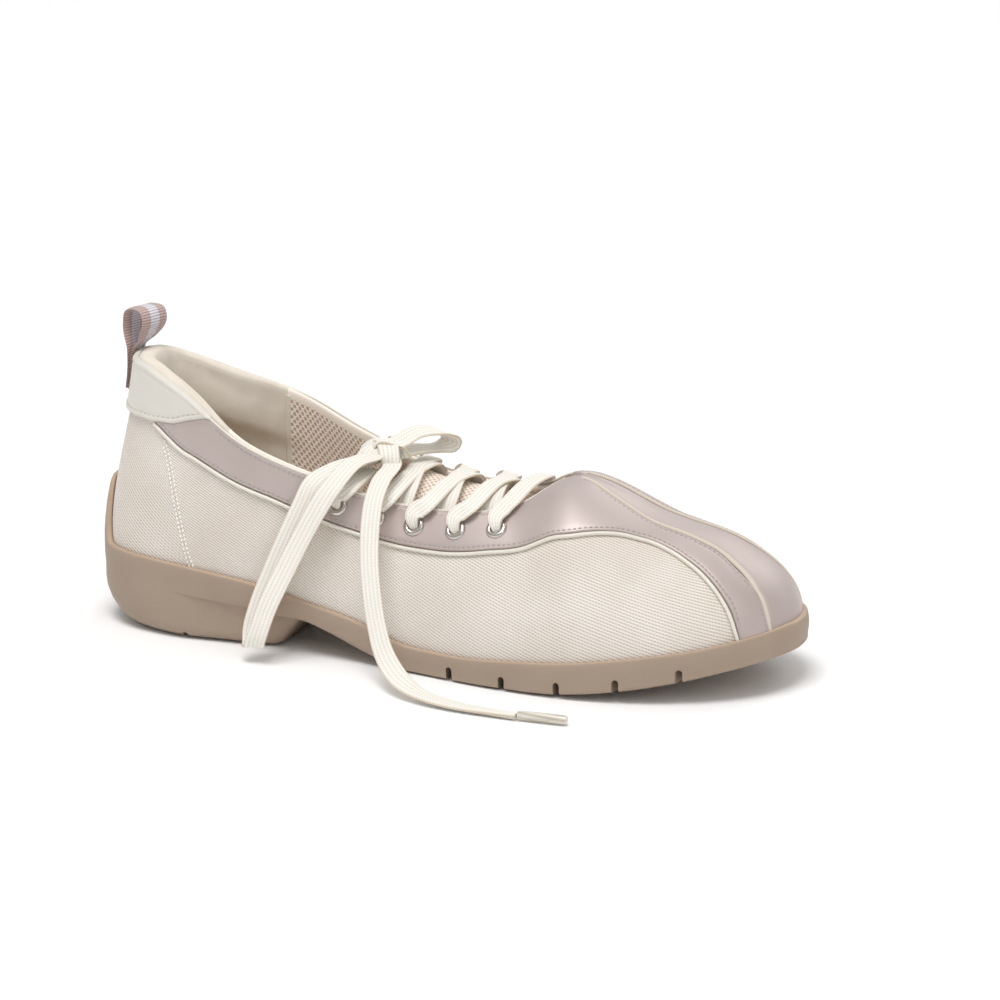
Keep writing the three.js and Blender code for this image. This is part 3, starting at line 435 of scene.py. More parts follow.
def skin(name, upper, lower, uv):
    """Two grids of points closed into one body."""
    rows, columns = upper.shape[:2]
    count = rows * columns
    faces = grid_faces(rows, columns) + grid_faces(rows, columns, count, True)
    border = [i * columns for i in range(rows)]
    border += [(rows - 1) * columns + j for j in range(1, columns)]
    border += [i * columns + columns - 1 for i in reversed(range(rows - 1))]
    border += list(reversed(range(1, columns - 1)))
    for a, b in zip(border, border[1:] + border[:1]):
        faces.append((a, b, b + count, a + count))
    points = np.concatenate([upper.reshape(-1, 3), lower.reshape(-1, 3)])
    both = np.concatenate([uv.reshape(-1, 2), uv.reshape(-1, 2)])
    return make_mesh(name, to_row(points), faces, both)


# Distances from a panel's edge where its rows lie, so that the edge can be rounded.
EDGE_STEPS = np.array([0.0, 0.15, 0.4, 0.75, 1.15, 1.6, 2.1])


def edge_profile(distance, thickness, turned=0.75, stitch=1.25, sink=0.16):
    """Height of a turned-in edge: round over the first part and pulled down along its stitches."""
    t = np.clip(distance / turned, 0, 1)
    round_over = thickness * np.sqrt(np.maximum(1 - (1 - t) ** 2, 0))
    return round_over - sink * np.exp(-(((distance - stitch) / 0.4) ** 2))


def panel_rows(lower, upper, speed, inner):
    """Shares between two edges, with close rows beside each edge, and each row's distance from it."""
    width = (upper - lower) * speed
    squeeze = np.clip(width / (2 * EDGE_STEPS[-1] + 0.5), 0.02, 1)
    low = EDGE_STEPS[None] * squeeze[:, None]
    shares_low = lower[:, None] + low / speed[:, None]
    shares_high = (upper[:, None] - low / speed[:, None])[:, ::-1]
    t = np.linspace(0, 1, inner + 2)[1:-1]
    middle = shares_low[:, -1:] * (1 - t) + shares_high[:, :1] * t
    shares = np.concatenate([shares_low, middle, shares_high], 1)
    flat = np.full(middle.shape, 9.0)
    return shares, np.concatenate([low, flat, low[:, ::-1]], 1)


def tube(name, centres, normals, width, height, sides=10, ends=0.6):
    """A rounded cord: its section is set by a normal at each centre; the ends are drawn in."""
    centres = np.asarray(centres, float)
    tangent = unit(np.gradient(centres, axis=0))
    out = unit(normals - tangent * np.sum(normals * tangent, -1, keepdims=True))
    across_way = np.cross(tangent, out)
    angle = np.linspace(0, 2 * np.pi, sides, endpoint=False)
    width = np.broadcast_to(width, len(centres)) / 2
    height = np.broadcast_to(height, len(centres)) / 2
    ring = (
        centres[:, None]
        + across_way[:, None] * (np.cos(angle)[None, :, None] * width[:, None, None])
        + out[:, None] * (np.sin(angle)[None, :, None] * height[:, None, None])
    )
    first = centres[:1, None] * np.ones((1, sides, 1)) - tangent[:1, None] * height[0] * ends
    last = centres[-1:, None] * np.ones((1, sides, 1)) + tangent[-1:, None] * height[-1] * ends
    near_first = (ring[:1] + first) / 2 - tangent[:1, None] * height[0] * ends * 0.3
    near_last = (ring[-1:] + last) / 2 + tangent[-1:, None] * height[-1] * ends * 0.3
    rings = np.concatenate([first, near_first, ring, near_last, last])
    length = np.concatenate([[0, 0], lengths(centres[:, None], 0)[:, 0], [0, 0]])
    length[-2:] = length[-3]
    return ring_mesh(name, rings, length)


def ring_mesh(name, rings, length, merge=1e-6):
    """A body through rings of points; its cloth map runs along it and round it."""
    count, sides = rings.shape[:2]
    faces = []
    for i in range(count - 1):
        for j in range(sides):
            k = (j + 1) % sides
            a, b = i * sides, (i + 1) * sides
            faces.append((a + j, a + k, b + k, b + j))
    around = np.linspace(0, 1, sides, endpoint=False)
    uv = np.stack(np.broadcast_arrays(length[:, None] * MM, around[None]), -1)
    return make_mesh(name, to_row(rings.reshape(-1, 3)), faces, uv.reshape(-1, 2), merge)


# Materials

def linear(value):
    """An sRGB hex colour as linear RGBA."""
    value = value.lstrip("#")
    parts = [int(value[i : i + 2], 16) / 255 for i in (0, 2, 4)]
    return tuple(p / 12.92 if p <= 0.04045 else ((p + 0.055) / 1.055) ** 2.4 for p in parts) + (1.0,)


def add_node(tree, kind, settings=None, inputs=None):
    """A node with its settings and with its inputs set or linked."""
    node = tree.nodes.new(kind)
    for key, value in (settings or {}).items():
        setattr(node, key, value)
    for key, value in (inputs or {}).items():
        socket = node.inputs[key]
        if isinstance(value, bpy.types.NodeSocket):
            tree.links.new(value, socket)
        else:
            socket.default_value = value
    return node


def new_material(name, **sockets):
    """A material with one Principled shader, and that shader."""
    material = bpy.data.materials.new(name)
    material.use_nodes = True
    tree = material.node_tree
    tree.nodes.clear()
    shader = add_node(tree, "ShaderNodeBsdfPrincipled", None, sockets)
    add_node(tree, "ShaderNodeOutputMaterial", None, {"Surface": shader.outputs[0]})
    return material, tree, shader


def cloth_axes(tree):
    """The cloth map's two lengths in metres."""
    uv = add_node(tree, "ShaderNodeUVMap", {"uv_map": "cloth"}).outputs[0]
    split = add_node(tree, "ShaderNodeSeparateXYZ", None, {0: uv})
    return uv, split.outputs[0], split.outputs[1]


def object_place(tree):
    return add_node(tree, "ShaderNodeTexCoord").outputs["Object"]


def wave(tree, value, pitch, shift=0.0):
    """A wave from 0 to 1 over a pitch in metres."""
    turned = add_node(
        tree, "ShaderNodeMath", {"operation": "MULTIPLY"}, {0: value, 1: 2 * math.pi / pitch}
    ).outputs[0]
    if not isinstance(shift, float) or shift:
        turned = add_node(tree, "ShaderNodeMath", {"operation": "ADD"}, {0: turned, 1: shift}).outputs[0]
    swing = add_node(tree, "ShaderNodeMath", {"operation": "SINE"}, {0: turned}).outputs[0]
    return add_node(
        tree, "ShaderNodeMath", {"operation": "MULTIPLY_ADD"}, {0: swing, 1: 0.5, 2: 0.5}
    ).outputs[0]


def lattice(tree, u, v, pitch_u, pitch_v):
    """Spots on a lattice: a row each half of pitch_v, moved along by half of pitch_u from the last."""
    first = add_node(
        tree,
        "ShaderNodeMath",
        {"operation": "MULTIPLY"},
        {0: wave(tree, u, pitch_u), 1: wave(tree, v, pitch_v)},
    ).outputs[0]
    moved = add_node(
        tree,
        "ShaderNodeMath",
        {"operation": "MULTIPLY"},
        {0: wave(tree, u, pitch_u, math.pi), 1: wave(tree, v, pitch_v, math.pi)},
    ).outputs[0]
    return add_node(tree, "ShaderNodeMath", {"operation": "MAXIMUM"}, {0: first, 1: moved}).outputs[0]


def woven_mesh():
    """Polyester mesh, knitted: slanting rows of small holes, drawn 1 mm apart so that they show."""
    material, tree, shader = new_material("knitted_mesh", Roughness=0.9)
    uv, u, v = cloth_axes(tree)
    place = object_place(tree)
    spots = lattice(tree, u, v, 0.0012, 0.002)
    rows = wave(tree, v, 0.001, -math.pi / 2)
    weighed = add_node(tree, "ShaderNodeMath", {"operation": "MULTIPLY"}, {0: spots, 1: 0.28}).outputs[0]
    spots = add_node(
        tree, "ShaderNodeMath", {"operation": "MULTIPLY_ADD"}, {0: rows, 1: 0.72, 2: weighed}
    ).outputs[0]
    holes = add_node(
        tree, "ShaderNodeMapRange", {"interpolation_type": "SMOOTHSTEP"}, {0: spots, 1: 0.3, 2: 0.9}
    ).outputs[0]
    soft = add_node(tree, "ShaderNodeTexNoise", None, {"Vector": place, "Scale": 30.0}).outputs[0]
    fibre = add_node(tree, "ShaderNodeTexNoise", None, {"Vector": place, "Scale": 2600.0}).outputs[0]
    tone = add_node(
        tree, "ShaderNodeMix", {"data_type": "RGBA"}, {0: holes, 6: linear("#ebe5de"), 7: linear("#c8beb3")}
    ).outputs[2]
    share = add_node(
        tree, "ShaderNodeMapRange", {"interpolation_type": "SMOOTHSTEP"}, {0: soft, 1: 0.3, 2: 0.7}
    ).outputs[0]
    shade = add_node(
        tree, "ShaderNodeMix", {"data_type": "RGBA"}, {0: share, 6: linear("#f4f1ee"), 7: linear("#ffffff")}
    ).outputs[2]
    tone = add_node(
        tree, "ShaderNodeMix", {"data_type": "RGBA", "blend_type": "MULTIPLY"}, {0: 1.0, 6: tone, 7: shade}
    ).outputs[2]
    left = add_node(tree, "ShaderNodeMath", {"operation": "SUBTRACT"}, {0: 1.0, 1: holes}).outputs[0]
    height = add_node(
        tree, "ShaderNodeMath", {"operation": "MULTIPLY_ADD"}, {0: fibre, 1: 0.25, 2: left}
    ).outputs[0]
    tree.links.new(tone, shader.inputs["Base Color"])
    relief = add_node(
        tree, "ShaderNodeBump", None, {"Height": height, "Strength": 0.5, "Distance": 0.0002}
    ).outputs[0]
    tree.links.new(relief, shader.inputs["Normal"])
    shader.inputs["Sheen Weight"].default_value = 0.12
    shader.inputs["Specular IOR Level"].default_value = 0.25
    return material


def satin_cloth():
    """Pearl-coated satin, calendered: smooth, with a broad silky gloss and faint slubs."""
    material, tree, shader = new_material("pearl_satin", Roughness=0.46, Metallic=0.35)
    uv, u, v = cloth_axes(tree)
    place = object_place(tree)
    soft = add_node(tree, "ShaderNodeTexNoise", None, {"Vector": place, "Scale": 38.0}).outputs[0]
    drawn_out = {"Vector": uv, "Scale": (260.0, 4200.0, 1.0)}
    stretch = add_node(tree, "ShaderNodeMapping", None, drawn_out).outputs[0]
    slub = add_node(tree, "ShaderNodeTexNoise", None, {"Vector": stretch, "Scale": 1.0}).outputs[0]
    share = add_node(
        tree, "ShaderNodeMapRange", {"interpolation_type": "SMOOTHSTEP"}, {0: soft, 1: 0.3, 2: 0.7}
    ).outputs[0]
    tone = add_node(
        tree, "ShaderNodeMix", {"data_type": "RGBA"}, {0: share, 6: linear("#b9aba6"), 7: linear("#c3b6b2")}
    ).outputs[2]
    weighed = add_node(tree, "ShaderNodeMath", {"operation": "MULTIPLY"}, {0: slub, 1: 0.25}).outputs[0]
    tone = add_node(
        tree, "ShaderNodeMix", {"data_type": "RGBA"}, {0: weighed, 6: tone, 7: linear("#b5a5a0")}
    ).outputs[2]
    tree.links.new(tone, shader.inputs["Base Color"])
    relief = add_node(
        tree, "ShaderNodeBump", None, {"Height": slub, "Strength": 0.15, "Distance": 0.00008}
    ).outputs[0]
    tree.links.new(relief, shader.inputs["Normal"])
    shader.inputs["Sheen Weight"].default_value = 0.1
    shader.inputs["Sheen Roughness"].default_value = 0.35
    return material


def glazed_piping():
    """Coated cord piping: creamy and fairly glossy."""
    material, tree, shader = new_material("glazed_piping", Roughness=0.35)
    place = object_place(tree)
    soft = add_node(tree, "ShaderNodeTexNoise", None, {"Vector": place, "Scale": 120.0}).outputs[0]
    tone = add_node(
        tree, "ShaderNodeMix", {"data_type": "RGBA"}, {0: soft, 6: linear("#dcd6c9"), 7: linear("#e9e4d9")}
    ).outputs[2]
    tree.links.new(tone, shader.inputs["Base Color"])
    fuzz = add_node(tree, "ShaderNodeTexNoise", None, {"Vector": place, "Scale": 900.0}).outputs[0]
    relief = add_node(
        tree, "ShaderNodeBump", None, {"Height": fuzz, "Strength": 0.1, "Distance": 0.0001}
    ).outputs[0]
    tree.links.new(relief, shader.inputs["Normal"])
    shader.inputs["Coat Weight"].default_value = 0.25
    shader.inputs["Coat Roughness"].default_value = 0.3
    return material


def seam_braid():
    """Corded tape, woven: fine turns of thread 0.7 mm apart slant across it."""
    material, tree, shader = new_material("corded_tape", Roughness=0.7)
    uv, u, v = cloth_axes(tree)
    turn = add_node(tree, "ShaderNodeMath", {"operation": "MULTIPLY"}, {0: v, 1: 2 * math.pi}).outputs[0]
    strands = wave(tree, u, 0.0007, turn)
    share = add_node(
        tree, "ShaderNodeMapRange", {"interpolation_type": "SMOOTHSTEP"}, {0: strands, 1: 0.0, 2: 0.6}
    ).outputs[0]
    tone = add_node(
        tree, "ShaderNodeMix", {"data_type": "RGBA"}, {0: share, 6: linear("#c3b5a4"), 7: linear("#d8cdc0")}
    ).outputs[2]
    tree.links.new(tone, shader.inputs["Base Color"])
    relief = add_node(
        tree, "ShaderNodeBump", None, {"Height": strands, "Strength": 0.3, "Distance": 0.00015}
    ).outputs[0]
    tree.links.new(relief, shader.inputs["Normal"])
    return material


def smooth_leather():
    """Coated calf leather, embossed with a fine grain: off-white with a low even gloss."""
    material, tree, shader = new_material("coated_leather", Roughness=0.45)
    place = object_place(tree)
    cells = add_node(
        tree, "ShaderNodeTexVoronoi", {"feature": "SMOOTH_F1"}, {"Vector": place, "Scale": 950.0}
    )
    grain = cells.outputs[0]
    soft = add_node(tree, "ShaderNodeTexNoise", None, {"Vector": place, "Scale": 60.0}).outputs[0]
    tone = add_node(
        tree, "ShaderNodeMix", {"data_type": "RGBA"}, {0: soft, 6: linear("#d5d1c7"), 7: linear("#dcd8d0")}
    ).outputs[2]
    tree.links.new(tone, shader.inputs["Base Color"])
    relief = add_node(
        tree, "ShaderNodeBump", None, {"Height": grain, "Strength": 0.12, "Distance": 0.0001}
    ).outputs[0]
    tree.links.new(relief, shader.inputs["Normal"])
    shader.inputs["Specular IOR Level"].default_value = 0.4
    return material


def suede_lining():
    """Synthetic suede, brushed: a short beige nap that shows as soft clouding."""
    material, tree, shader = new_material("suede_lining", Roughness=0.95)
    place = object_place(tree)
    clouds = add_node(
        tree, "ShaderNodeTexNoise", None, {"Vector": place, "Scale": 160.0, "Detail": 4.0}
    ).outputs[0]
    nap = add_node(tree, "ShaderNodeTexNoise", None, {"Vector": place, "Scale": 3000.0}).outputs[0]
    share = add_node(
        tree, "ShaderNodeMapRange", {"interpolation_type": "SMOOTHSTEP"}, {0: clouds, 1: 0.3, 2: 0.7}
    ).outputs[0]
    tone = add_node(
        tree, "ShaderNodeMix", {"data_type": "RGBA"}, {0: share, 6: linear("#ded5c8"), 7: linear("#e7dfd3")}
    ).outputs[2]
    weighed = add_node(tree, "ShaderNodeMath", {"operation": "MULTIPLY"}, {0: nap, 1: 0.3}).outputs[0]
    tone = add_node(
        tree, "ShaderNodeMix", {"data_type": "RGBA"}, {0: weighed, 6: tone, 7: linear("#d3c4b0")}
    ).outputs[2]
    tree.links.new(tone, shader.inputs["Base Color"])
    relief = add_node(
        tree, "ShaderNodeBump", None, {"Height": nap, "Strength": 0.35, "Distance": 0.00015}
    ).outputs[0]
    tree.links.new(relief, shader.inputs["Normal"])
    shader.inputs["Sheen Weight"].default_value = 0.12
    shader.inputs["Specular IOR Level"].default_value = 0.15
    return material


def net_lining(name, border):
    """Warp-knitted spacer net: pale ribs round oval holes, with a plain border below the rim."""
    material, tree, shader = new_material(name, Roughness=0.9)
    uv, u, v = cloth_axes(tree)
    holes = add_node(
        tree,
        "ShaderNodeMapRange",
        {"interpolation_type": "SMOOTHSTEP"},
        {0: lattice(tree, u, v, 0.0021, 0.0027), 1: 0.34, 2: 0.8},
    ).outputs[0]
    if border:
        share = add_node(
            tree,
            "ShaderNodeMapRange",
            {"interpolation_type": "SMOOTHSTEP"},
            {0: v, 1: -border, 2: -border - 0.0008},
        ).outputs[0]
        holes = add_node(tree, "ShaderNodeMath", {"operation": "MULTIPLY"}, {0: holes, 1: share}).outputs[0]
    fibre = add_node(
        tree, "ShaderNodeTexNoise", None, {"Vector": object_place(tree), "Scale": 2200.0}
    ).outputs[0]
    tone = add_node(
        tree, "ShaderNodeMix", {"data_type": "RGBA"}, {0: holes, 6: linear("#f8eee3"), 7: linear("#cdb09b")}
    ).outputs[2]
    weighed = add_node(tree, "ShaderNodeMath", {"operation": "MULTIPLY"}, {0: fibre, 1: 0.25}).outputs[0]
    tone = add_node(
        tree, "ShaderNodeMix", {"data_type": "RGBA"}, {0: weighed, 6: tone, 7: linear("#e6d3c1")}
    ).outputs[2]
    tree.links.new(tone, shader.inputs["Base Color"])
    left = add_node(tree, "ShaderNodeMath", {"operation": "SUBTRACT"}, {0: 1.0, 1: holes}).outputs[0]
    relief = add_node(
        tree, "ShaderNodeBump", None, {"Height": left, "Strength": 0.7, "Distance": 0.0005}
    ).outputs[0]
    tree.links.new(relief, shader.inputs["Normal"])
    shader.inputs["Specular IOR Level"].default_value = 0.2
    return material


def footbed_cloth():
    """Foam footbed under brushed fabric: beige and matt."""
    material, tree, shader = new_material("footbed_cloth", Roughness=0.95)
    place = object_place(tree)
    clouds = add_node(
        tree, "ShaderNodeTexNoise", None, {"Vector": place, "Scale": 90.0, "Detail": 3.0}
    ).outputs[0]
    nap = add_node(tree, "ShaderNodeTexNoise", None, {"Vector": place, "Scale": 2600.0}).outputs[0]
    tone = add_node(
        tree,
        "ShaderNodeMix",
        {"data_type": "RGBA"},
        {0: clouds, 6: linear("#c3b19a"), 7: linear("#d6c7b2")},
    ).outputs[2]
    tree.links.new(tone, shader.inputs["Base Color"])
    relief = add_node(
        tree, "ShaderNodeBump", None, {"Height": nap, "Strength": 0.3, "Distance": 0.00015}
    ).outputs[0]
    tree.links.new(relief, shader.inputs["Normal"])
    shader.inputs["Sheen Weight"].default_value = 0.2
    return material


def gum_rubber():
    """Gum rubber, moulded: taupe with a soft satin skin; painted glow lightens the thin lip's top, and it is
    darker at the bottom edge.
    """
    material, tree, shader = new_material("gum_rubber", Roughness=0.55)
    uv, u, level = cloth_axes(tree)
    place = object_place(tree)
    clouds = add_node(
        tree, "ShaderNodeTexNoise", None, {"Vector": place, "Scale": 22.0, "Detail": 3.0}
    ).outputs[0]
    grain = add_node(tree, "ShaderNodeTexNoise", None, {"Vector": place, "Scale": 1400.0}).outputs[0]
    share = add_node(
        tree, "ShaderNodeMapRange", {"interpolation_type": "SMOOTHSTEP"}, {0: clouds, 1: 0.3, 2: 0.7}
    ).outputs[0]
    tone = add_node(
        tree, "ShaderNodeMix", {"data_type": "RGBA"}, {0: share, 6: linear("#9d8b7a"), 7: linear("#a69382")}
    ).outputs[2]
    # Painted light: the thin top of the lip is made lighter, standing in for light that shines through the
    # rubber.
    share = add_node(
        tree, "ShaderNodeMapRange", {"interpolation_type": "SMOOTHSTEP"}, {0: level, 1: 0.66, 2: 0.8}
    ).outputs[0]
    painted_glow = add_node(tree, "ShaderNodeMath", {"operation": "MULTIPLY"}, {0: share, 1: 0.55}).outputs[0]
    tone = add_node(
        tree, "ShaderNodeMix", {"data_type": "RGBA"}, {0: painted_glow, 6: tone, 7: linear("#c4a98f")}
    ).outputs[2]
    # Darker towards the bottom of the tread's rounded edge.
    share = add_node(
        tree, "ShaderNodeMapRange", {"interpolation_type": "SMOOTHSTEP"}, {0: level, 1: 0.2, 2: 0.04}
    ).outputs[0]
    darker_bottom = add_node(tree, "ShaderNodeMath", {"operation": "MULTIPLY"}, {0: share, 1: 0.4}).outputs[0]
    tone = add_node(
        tree, "ShaderNodeMix", {"data_type": "RGBA"}, {0: darker_bottom, 6: tone, 7: linear("#7d6b5b")}
    ).outputs[2]
    tree.links.new(tone, shader.inputs["Base Color"])
    relief = add_node(
        tree, "ShaderNodeBump", None, {"Height": grain, "Strength": 0.12, "Distance": 0.0001}
    ).outputs[0]
    tree.links.new(relief, shader.inputs["Normal"])
    shader.inputs["Specular IOR Level"].default_value = 0.4
    return material


def cotton_lace():
    """Flat tubular cotton lace, woven: ribs run along it, with picks that slant to and fro; painted shade
    darkens its folded edges.
    """
    material, tree, shader = new_material("cotton_lace", Roughness=0.92)
    uv, u, v = cloth_axes(tree)
    ribs = wave(tree, v, 0.1)
    weighed = add_node(
        tree, "ShaderNodeMath", {"operation": "MULTIPLY"}, {0: wave(tree, v, 0.2), 1: 7.0}
    ).outputs[0]
    picks = wave(tree, u, 0.0011, weighed)
    weighed = add_node(tree, "ShaderNodeMath", {"operation": "MULTIPLY"}, {0: ribs, 1: 0.6}).outputs[0]
    weave = add_node(
        tree, "ShaderNodeMath", {"operation": "MULTIPLY_ADD"}, {0: picks, 1: 0.4, 2: weighed}
    ).outputs[0]
    # Painted shade: this mask darkens the lace's folded edges towards tan.
    left = add_node(tree, "ShaderNodeMath", {"operation": "SUBTRACT"}, {0: v, 1: 0.25}).outputs[0]
    off = add_node(tree, "ShaderNodeMath", {"operation": "ABSOLUTE"}, {0: left}).outputs[0]
    edge = add_node(
        tree, "ShaderNodeMapRange", {"interpolation_type": "SMOOTHSTEP"}, {0: off, 1: 0.22, 2: 0.25}
    ).outputs[0]
    fibre = add_node(
        tree, "ShaderNodeTexNoise", None, {"Vector": object_place(tree), "Scale": 2800.0}
    ).outputs[0]
    soft = add_node(
        tree, "ShaderNodeTexNoise", None, {"Vector": object_place(tree), "Scale": 70.0}
    ).outputs[0]
    share = add_node(
        tree, "ShaderNodeMapRange", {"interpolation_type": "SMOOTHSTEP"}, {0: weave, 1: 0.0, 2: 0.8}
    ).outputs[0]
    tone = add_node(
        tree, "ShaderNodeMix", {"data_type": "RGBA"}, {0: share, 6: linear("#dbd5ca"), 7: linear("#f3f0e9")}
    ).outputs[2]
    weighed = add_node(tree, "ShaderNodeMath", {"operation": "MULTIPLY"}, {0: soft, 1: 0.35}).outputs[0]
    tone = add_node(
        tree, "ShaderNodeMix", {"data_type": "RGBA"}, {0: weighed, 6: tone, 7: linear("#e6e0d4")}
    ).outputs[2]
    weighed = add_node(tree, "ShaderNodeMath", {"operation": "MULTIPLY"}, {0: edge, 1: 0.75}).outputs[0]
    tone = add_node(
        tree, "ShaderNodeMix", {"data_type": "RGBA"}, {0: weighed, 6: tone, 7: linear("#c2ab88")}
    ).outputs[2]
    height = add_node(
        tree, "ShaderNodeMath", {"operation": "MULTIPLY_ADD"}, {0: fibre, 1: 0.3, 2: weave}
    ).outputs[0]
    tree.links.new(tone, shader.inputs["Base Color"])
    relief = add_node(
        tree, "ShaderNodeBump", None, {"Height": height, "Strength": 0.4, "Distance": 0.00025}
    ).outputs[0]
    tree.links.new(relief, shader.inputs["Normal"])
    shader.inputs["Sheen Weight"].default_value = 0.15
    shader.inputs["Specular IOR Level"].default_value = 0.2
    return material


def ribbed_ribbon():
    """Grosgrain ribbon, woven: cords 0.9 mm apart run across it, painted shade between them, a pale stripe
    down the middle.
    """
    material, tree, shader = new_material("grosgrain", Roughness=0.8)
    uv, u, v = cloth_axes(tree)
    cords = wave(tree, u, 0.0009)
    left = add_node(tree, "ShaderNodeMath", {"operation": "SUBTRACT"}, {0: v, 1: 0.5}).outputs[0]
    middle = add_node(tree, "ShaderNodeMath", {"operation": "ABSOLUTE"}, {0: left}).outputs[0]
    pale = add_node(
        tree, "ShaderNodeMapRange", {"interpolation_type": "SMOOTHSTEP"}, {0: middle, 1: 0.19, 2: 0.15}
    ).outputs[0]
    tone = add_node(
        tree, "ShaderNodeMix", {"data_type": "RGBA"}, {0: pale, 6: linear("#c3aaa4"), 7: linear("#e2dfe8")}
    ).outputs[2]
    # Painted shade: the gaps between the cords are darkened.
    share = add_node(
        tree, "ShaderNodeMapRange", {"interpolation_type": "SMOOTHSTEP"}, {0: cords, 1: 0.55, 2: 0.0}
    ).outputs[0]
    painted_gap_shade = add_node(
        tree, "ShaderNodeMix", {"data_type": "RGBA"}, {0: 0.6, 6: tone, 7: linear("#6a544f")}
    ).outputs[2]
    tone = add_node(tree, "ShaderNodeMix", {"data_type": "RGBA"}, {0: share, 6: tone, 7: painted_gap_shade}).outputs[2]
    tree.links.new(tone, shader.inputs["Base Color"])
    relief = add_node(
        tree, "ShaderNodeBump", None, {"Height": cords, "Strength": 0.6, "Distance": 0.00025}
    ).outputs[0]
    tree.links.new(relief, shader.inputs["Normal"])
    shader.inputs["Sheen Weight"].default_value = 0.2
    return material


def nickel():
    """Nickel-plated brass, pressed and polished: bright and slightly warm."""
    material, tree, shader = new_material("nickel_plate", Metallic=1.0, Roughness=0.22)
    smear = add_node(
        tree, "ShaderNodeTexNoise", None, {"Vector": object_place(tree), "Scale": 700.0}
    ).outputs[0]
    tone = add_node(
        tree, "ShaderNodeMix", {"data_type": "RGBA"}, {0: smear, 6: linear("#b8b2ab"), 7: linear("#d8d4ce")}
    ).outputs[2]
    tree.links.new(tone, shader.inputs["Base Color"])
    return material


def polyester_thread(name, colour):
    """Polyester thread, spun and bonded: a little gloss on a round stitch."""
    material, tree, shader = new_material(name, Roughness=0.6)
    strand = add_node(
        tree, "ShaderNodeTexNoise", None, {"Vector": object_place(tree), "Scale": 2400.0}
    ).outputs[0]
    tone = add_node(
        tree, "ShaderNodeMix", {"data_type": "RGBA"}, {0: strand, 6: linear(colour), 7: linear("#ffffff")}
    ).outputs[2]
    tone = add_node(
        tree, "ShaderNodeMix", {"data_type": "RGBA"}, {0: 0.7, 6: tone, 7: linear(colour)}
    ).outputs[2]
    tree.links.new(tone, shader.inputs["Base Color"])
    return material


def clear_film():
    """Acetate film, heat-set over the lace's end: glossy and nearly clear, so the rolled cotton shows."""
    material, tree, shader = new_material("acetate_film", Roughness=0.2, IOR=1.48)
    uv, u, v = cloth_axes(tree)
    weighed = add_node(tree, "ShaderNodeMath", {"operation": "MULTIPLY"}, {0: u, 1: 300.0}).outputs[0]
    rolled = wave(tree, v, 0.2, weighed)
    share = add_node(
        tree, "ShaderNodeMapRange", {"interpolation_type": "SMOOTHSTEP"}, {0: rolled, 1: 0.0, 2: 0.9}
    ).outputs[0]
    tone = add_node(
        tree, "ShaderNodeMix", {"data_type": "RGBA"}, {0: share, 6: linear("#b9b0a0"), 7: linear("#ded8cb")}
    ).outputs[2]
    tree.links.new(tone, shader.inputs["Base Color"])
    shader.inputs["Coat Weight"].default_value = 0.8
    shader.inputs["Coat Roughness"].default_value = 0.06
    return material


MATERIALS = {}


def material(name, make, *args):
    if name not in MATERIALS:
        MATERIALS[name] = make(*args)
    return MATERIALS[name]


def finish_piece(piece, finish, slot, *nodes):
    """Gives a piece its material and its place in the frame."""
    piece.data.materials.clear()
    piece.data.materials.append(finish)
    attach(piece, "root")
    if nodes:
        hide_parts(*nodes)
    return piece


# Upper

def stations(first, last, step=1.5):
    return np.linspace(first, last, max(2, round((last - first) / step) + 1))


def both_sides(turns):
    """Stations from the lateral side round the heel to the medial side."""
    turn = np.concatenate([turns[::-1], turns[1:]])
    side = np.concatenate([np.full(len(turns), LATERAL), np.full(len(turns) - 1, MEDIAL)])
    return turn, side.astype(float)


def pad_depth(turn, share):
    """Depth of the collar's padding, which swells below the rim and stops at a crease."""
    lower = 0.70 - 0.10 * smooth(turn / 60)
    swell = smooth((share - lower) / 0.11) * (1 + 0.45 * np.sin(np.pi * np.clip((share - lower) / 0.3, 0, 1)))
    return COLLAR_PAD * (1 - smooth((turn - 38) / 24)) * swell


SEAM_TURN = 44.0


def seam_turns(turn, share):
    """Turns of a grid, drawn aside so that its column at SEAM_TURN follows the heel seam."""
    table = np.array(HEEL_SEAM[::-1], float)
    aside = np.interp(share, table[:, 1], table[:, 0]) - SEAM_TURN
    pull = np.interp(turn, (18, SEAM_TURN, 72), (0, 1, 0))
    return turn + aside * pull


def heel_mesh(name):
    """The outer cloth round the heel, cut on the slant."""
    turn, side = both_sides(stations(0, SEAM_TURN))
    rows = np.linspace(0, 0.99, 44)
    turn, share = np.meshgrid(turn, rows, indexing="ij")
    side = np.repeat(side[:, None], len(rows), 1)
    turn = seam_turns(turn, share)
    return shell(name, turn, side, share, np.zeros_like(share), np.full_like(share, -1.0), HEEL_GRAIN)


def side_mesh(name, side):
    """The outer cloth from the heel seam to the toe, as far as the rim or the spine."""
    turns = np.concatenate([stations(SEAM_TURN, 160, 1.4), stations(160, LAST_TURN, 1)[1:]])
    top = np.where(turns < VAMP_TURN, 0.99, 1.0)
    share = np.linspace(0, 1, 44)[None] * top[:, None]
    turn = seam_turns(np.repeat(turns[:, None], 44, 1), share)
    whole = np.full_like(share, float(side))
    return shell(name, turn, whole, share, np.zeros_like(share), np.full_like(share, -1.0), SIDE_GRAIN)


def vamp_grid(turns, lateral, medial, rows):
    """Places that cross the shoe over the spine at each turn."""
    t = np.linspace(0, 1, rows)
    rise = lateral[:, None] * (1 - t) + t
    fall = (1 - t) + medial[:, None] * t
    share = np.concatenate([rise, fall[:, 1:]], 1)
    side = np.concatenate([np.full(rows, LATERAL), np.full(rows - 1, MEDIAL)]).astype(float)
    turn = np.repeat(turns[:, None], share.shape[1], 1)
    return turn, np.repeat(side[None], len(turns), 0), share


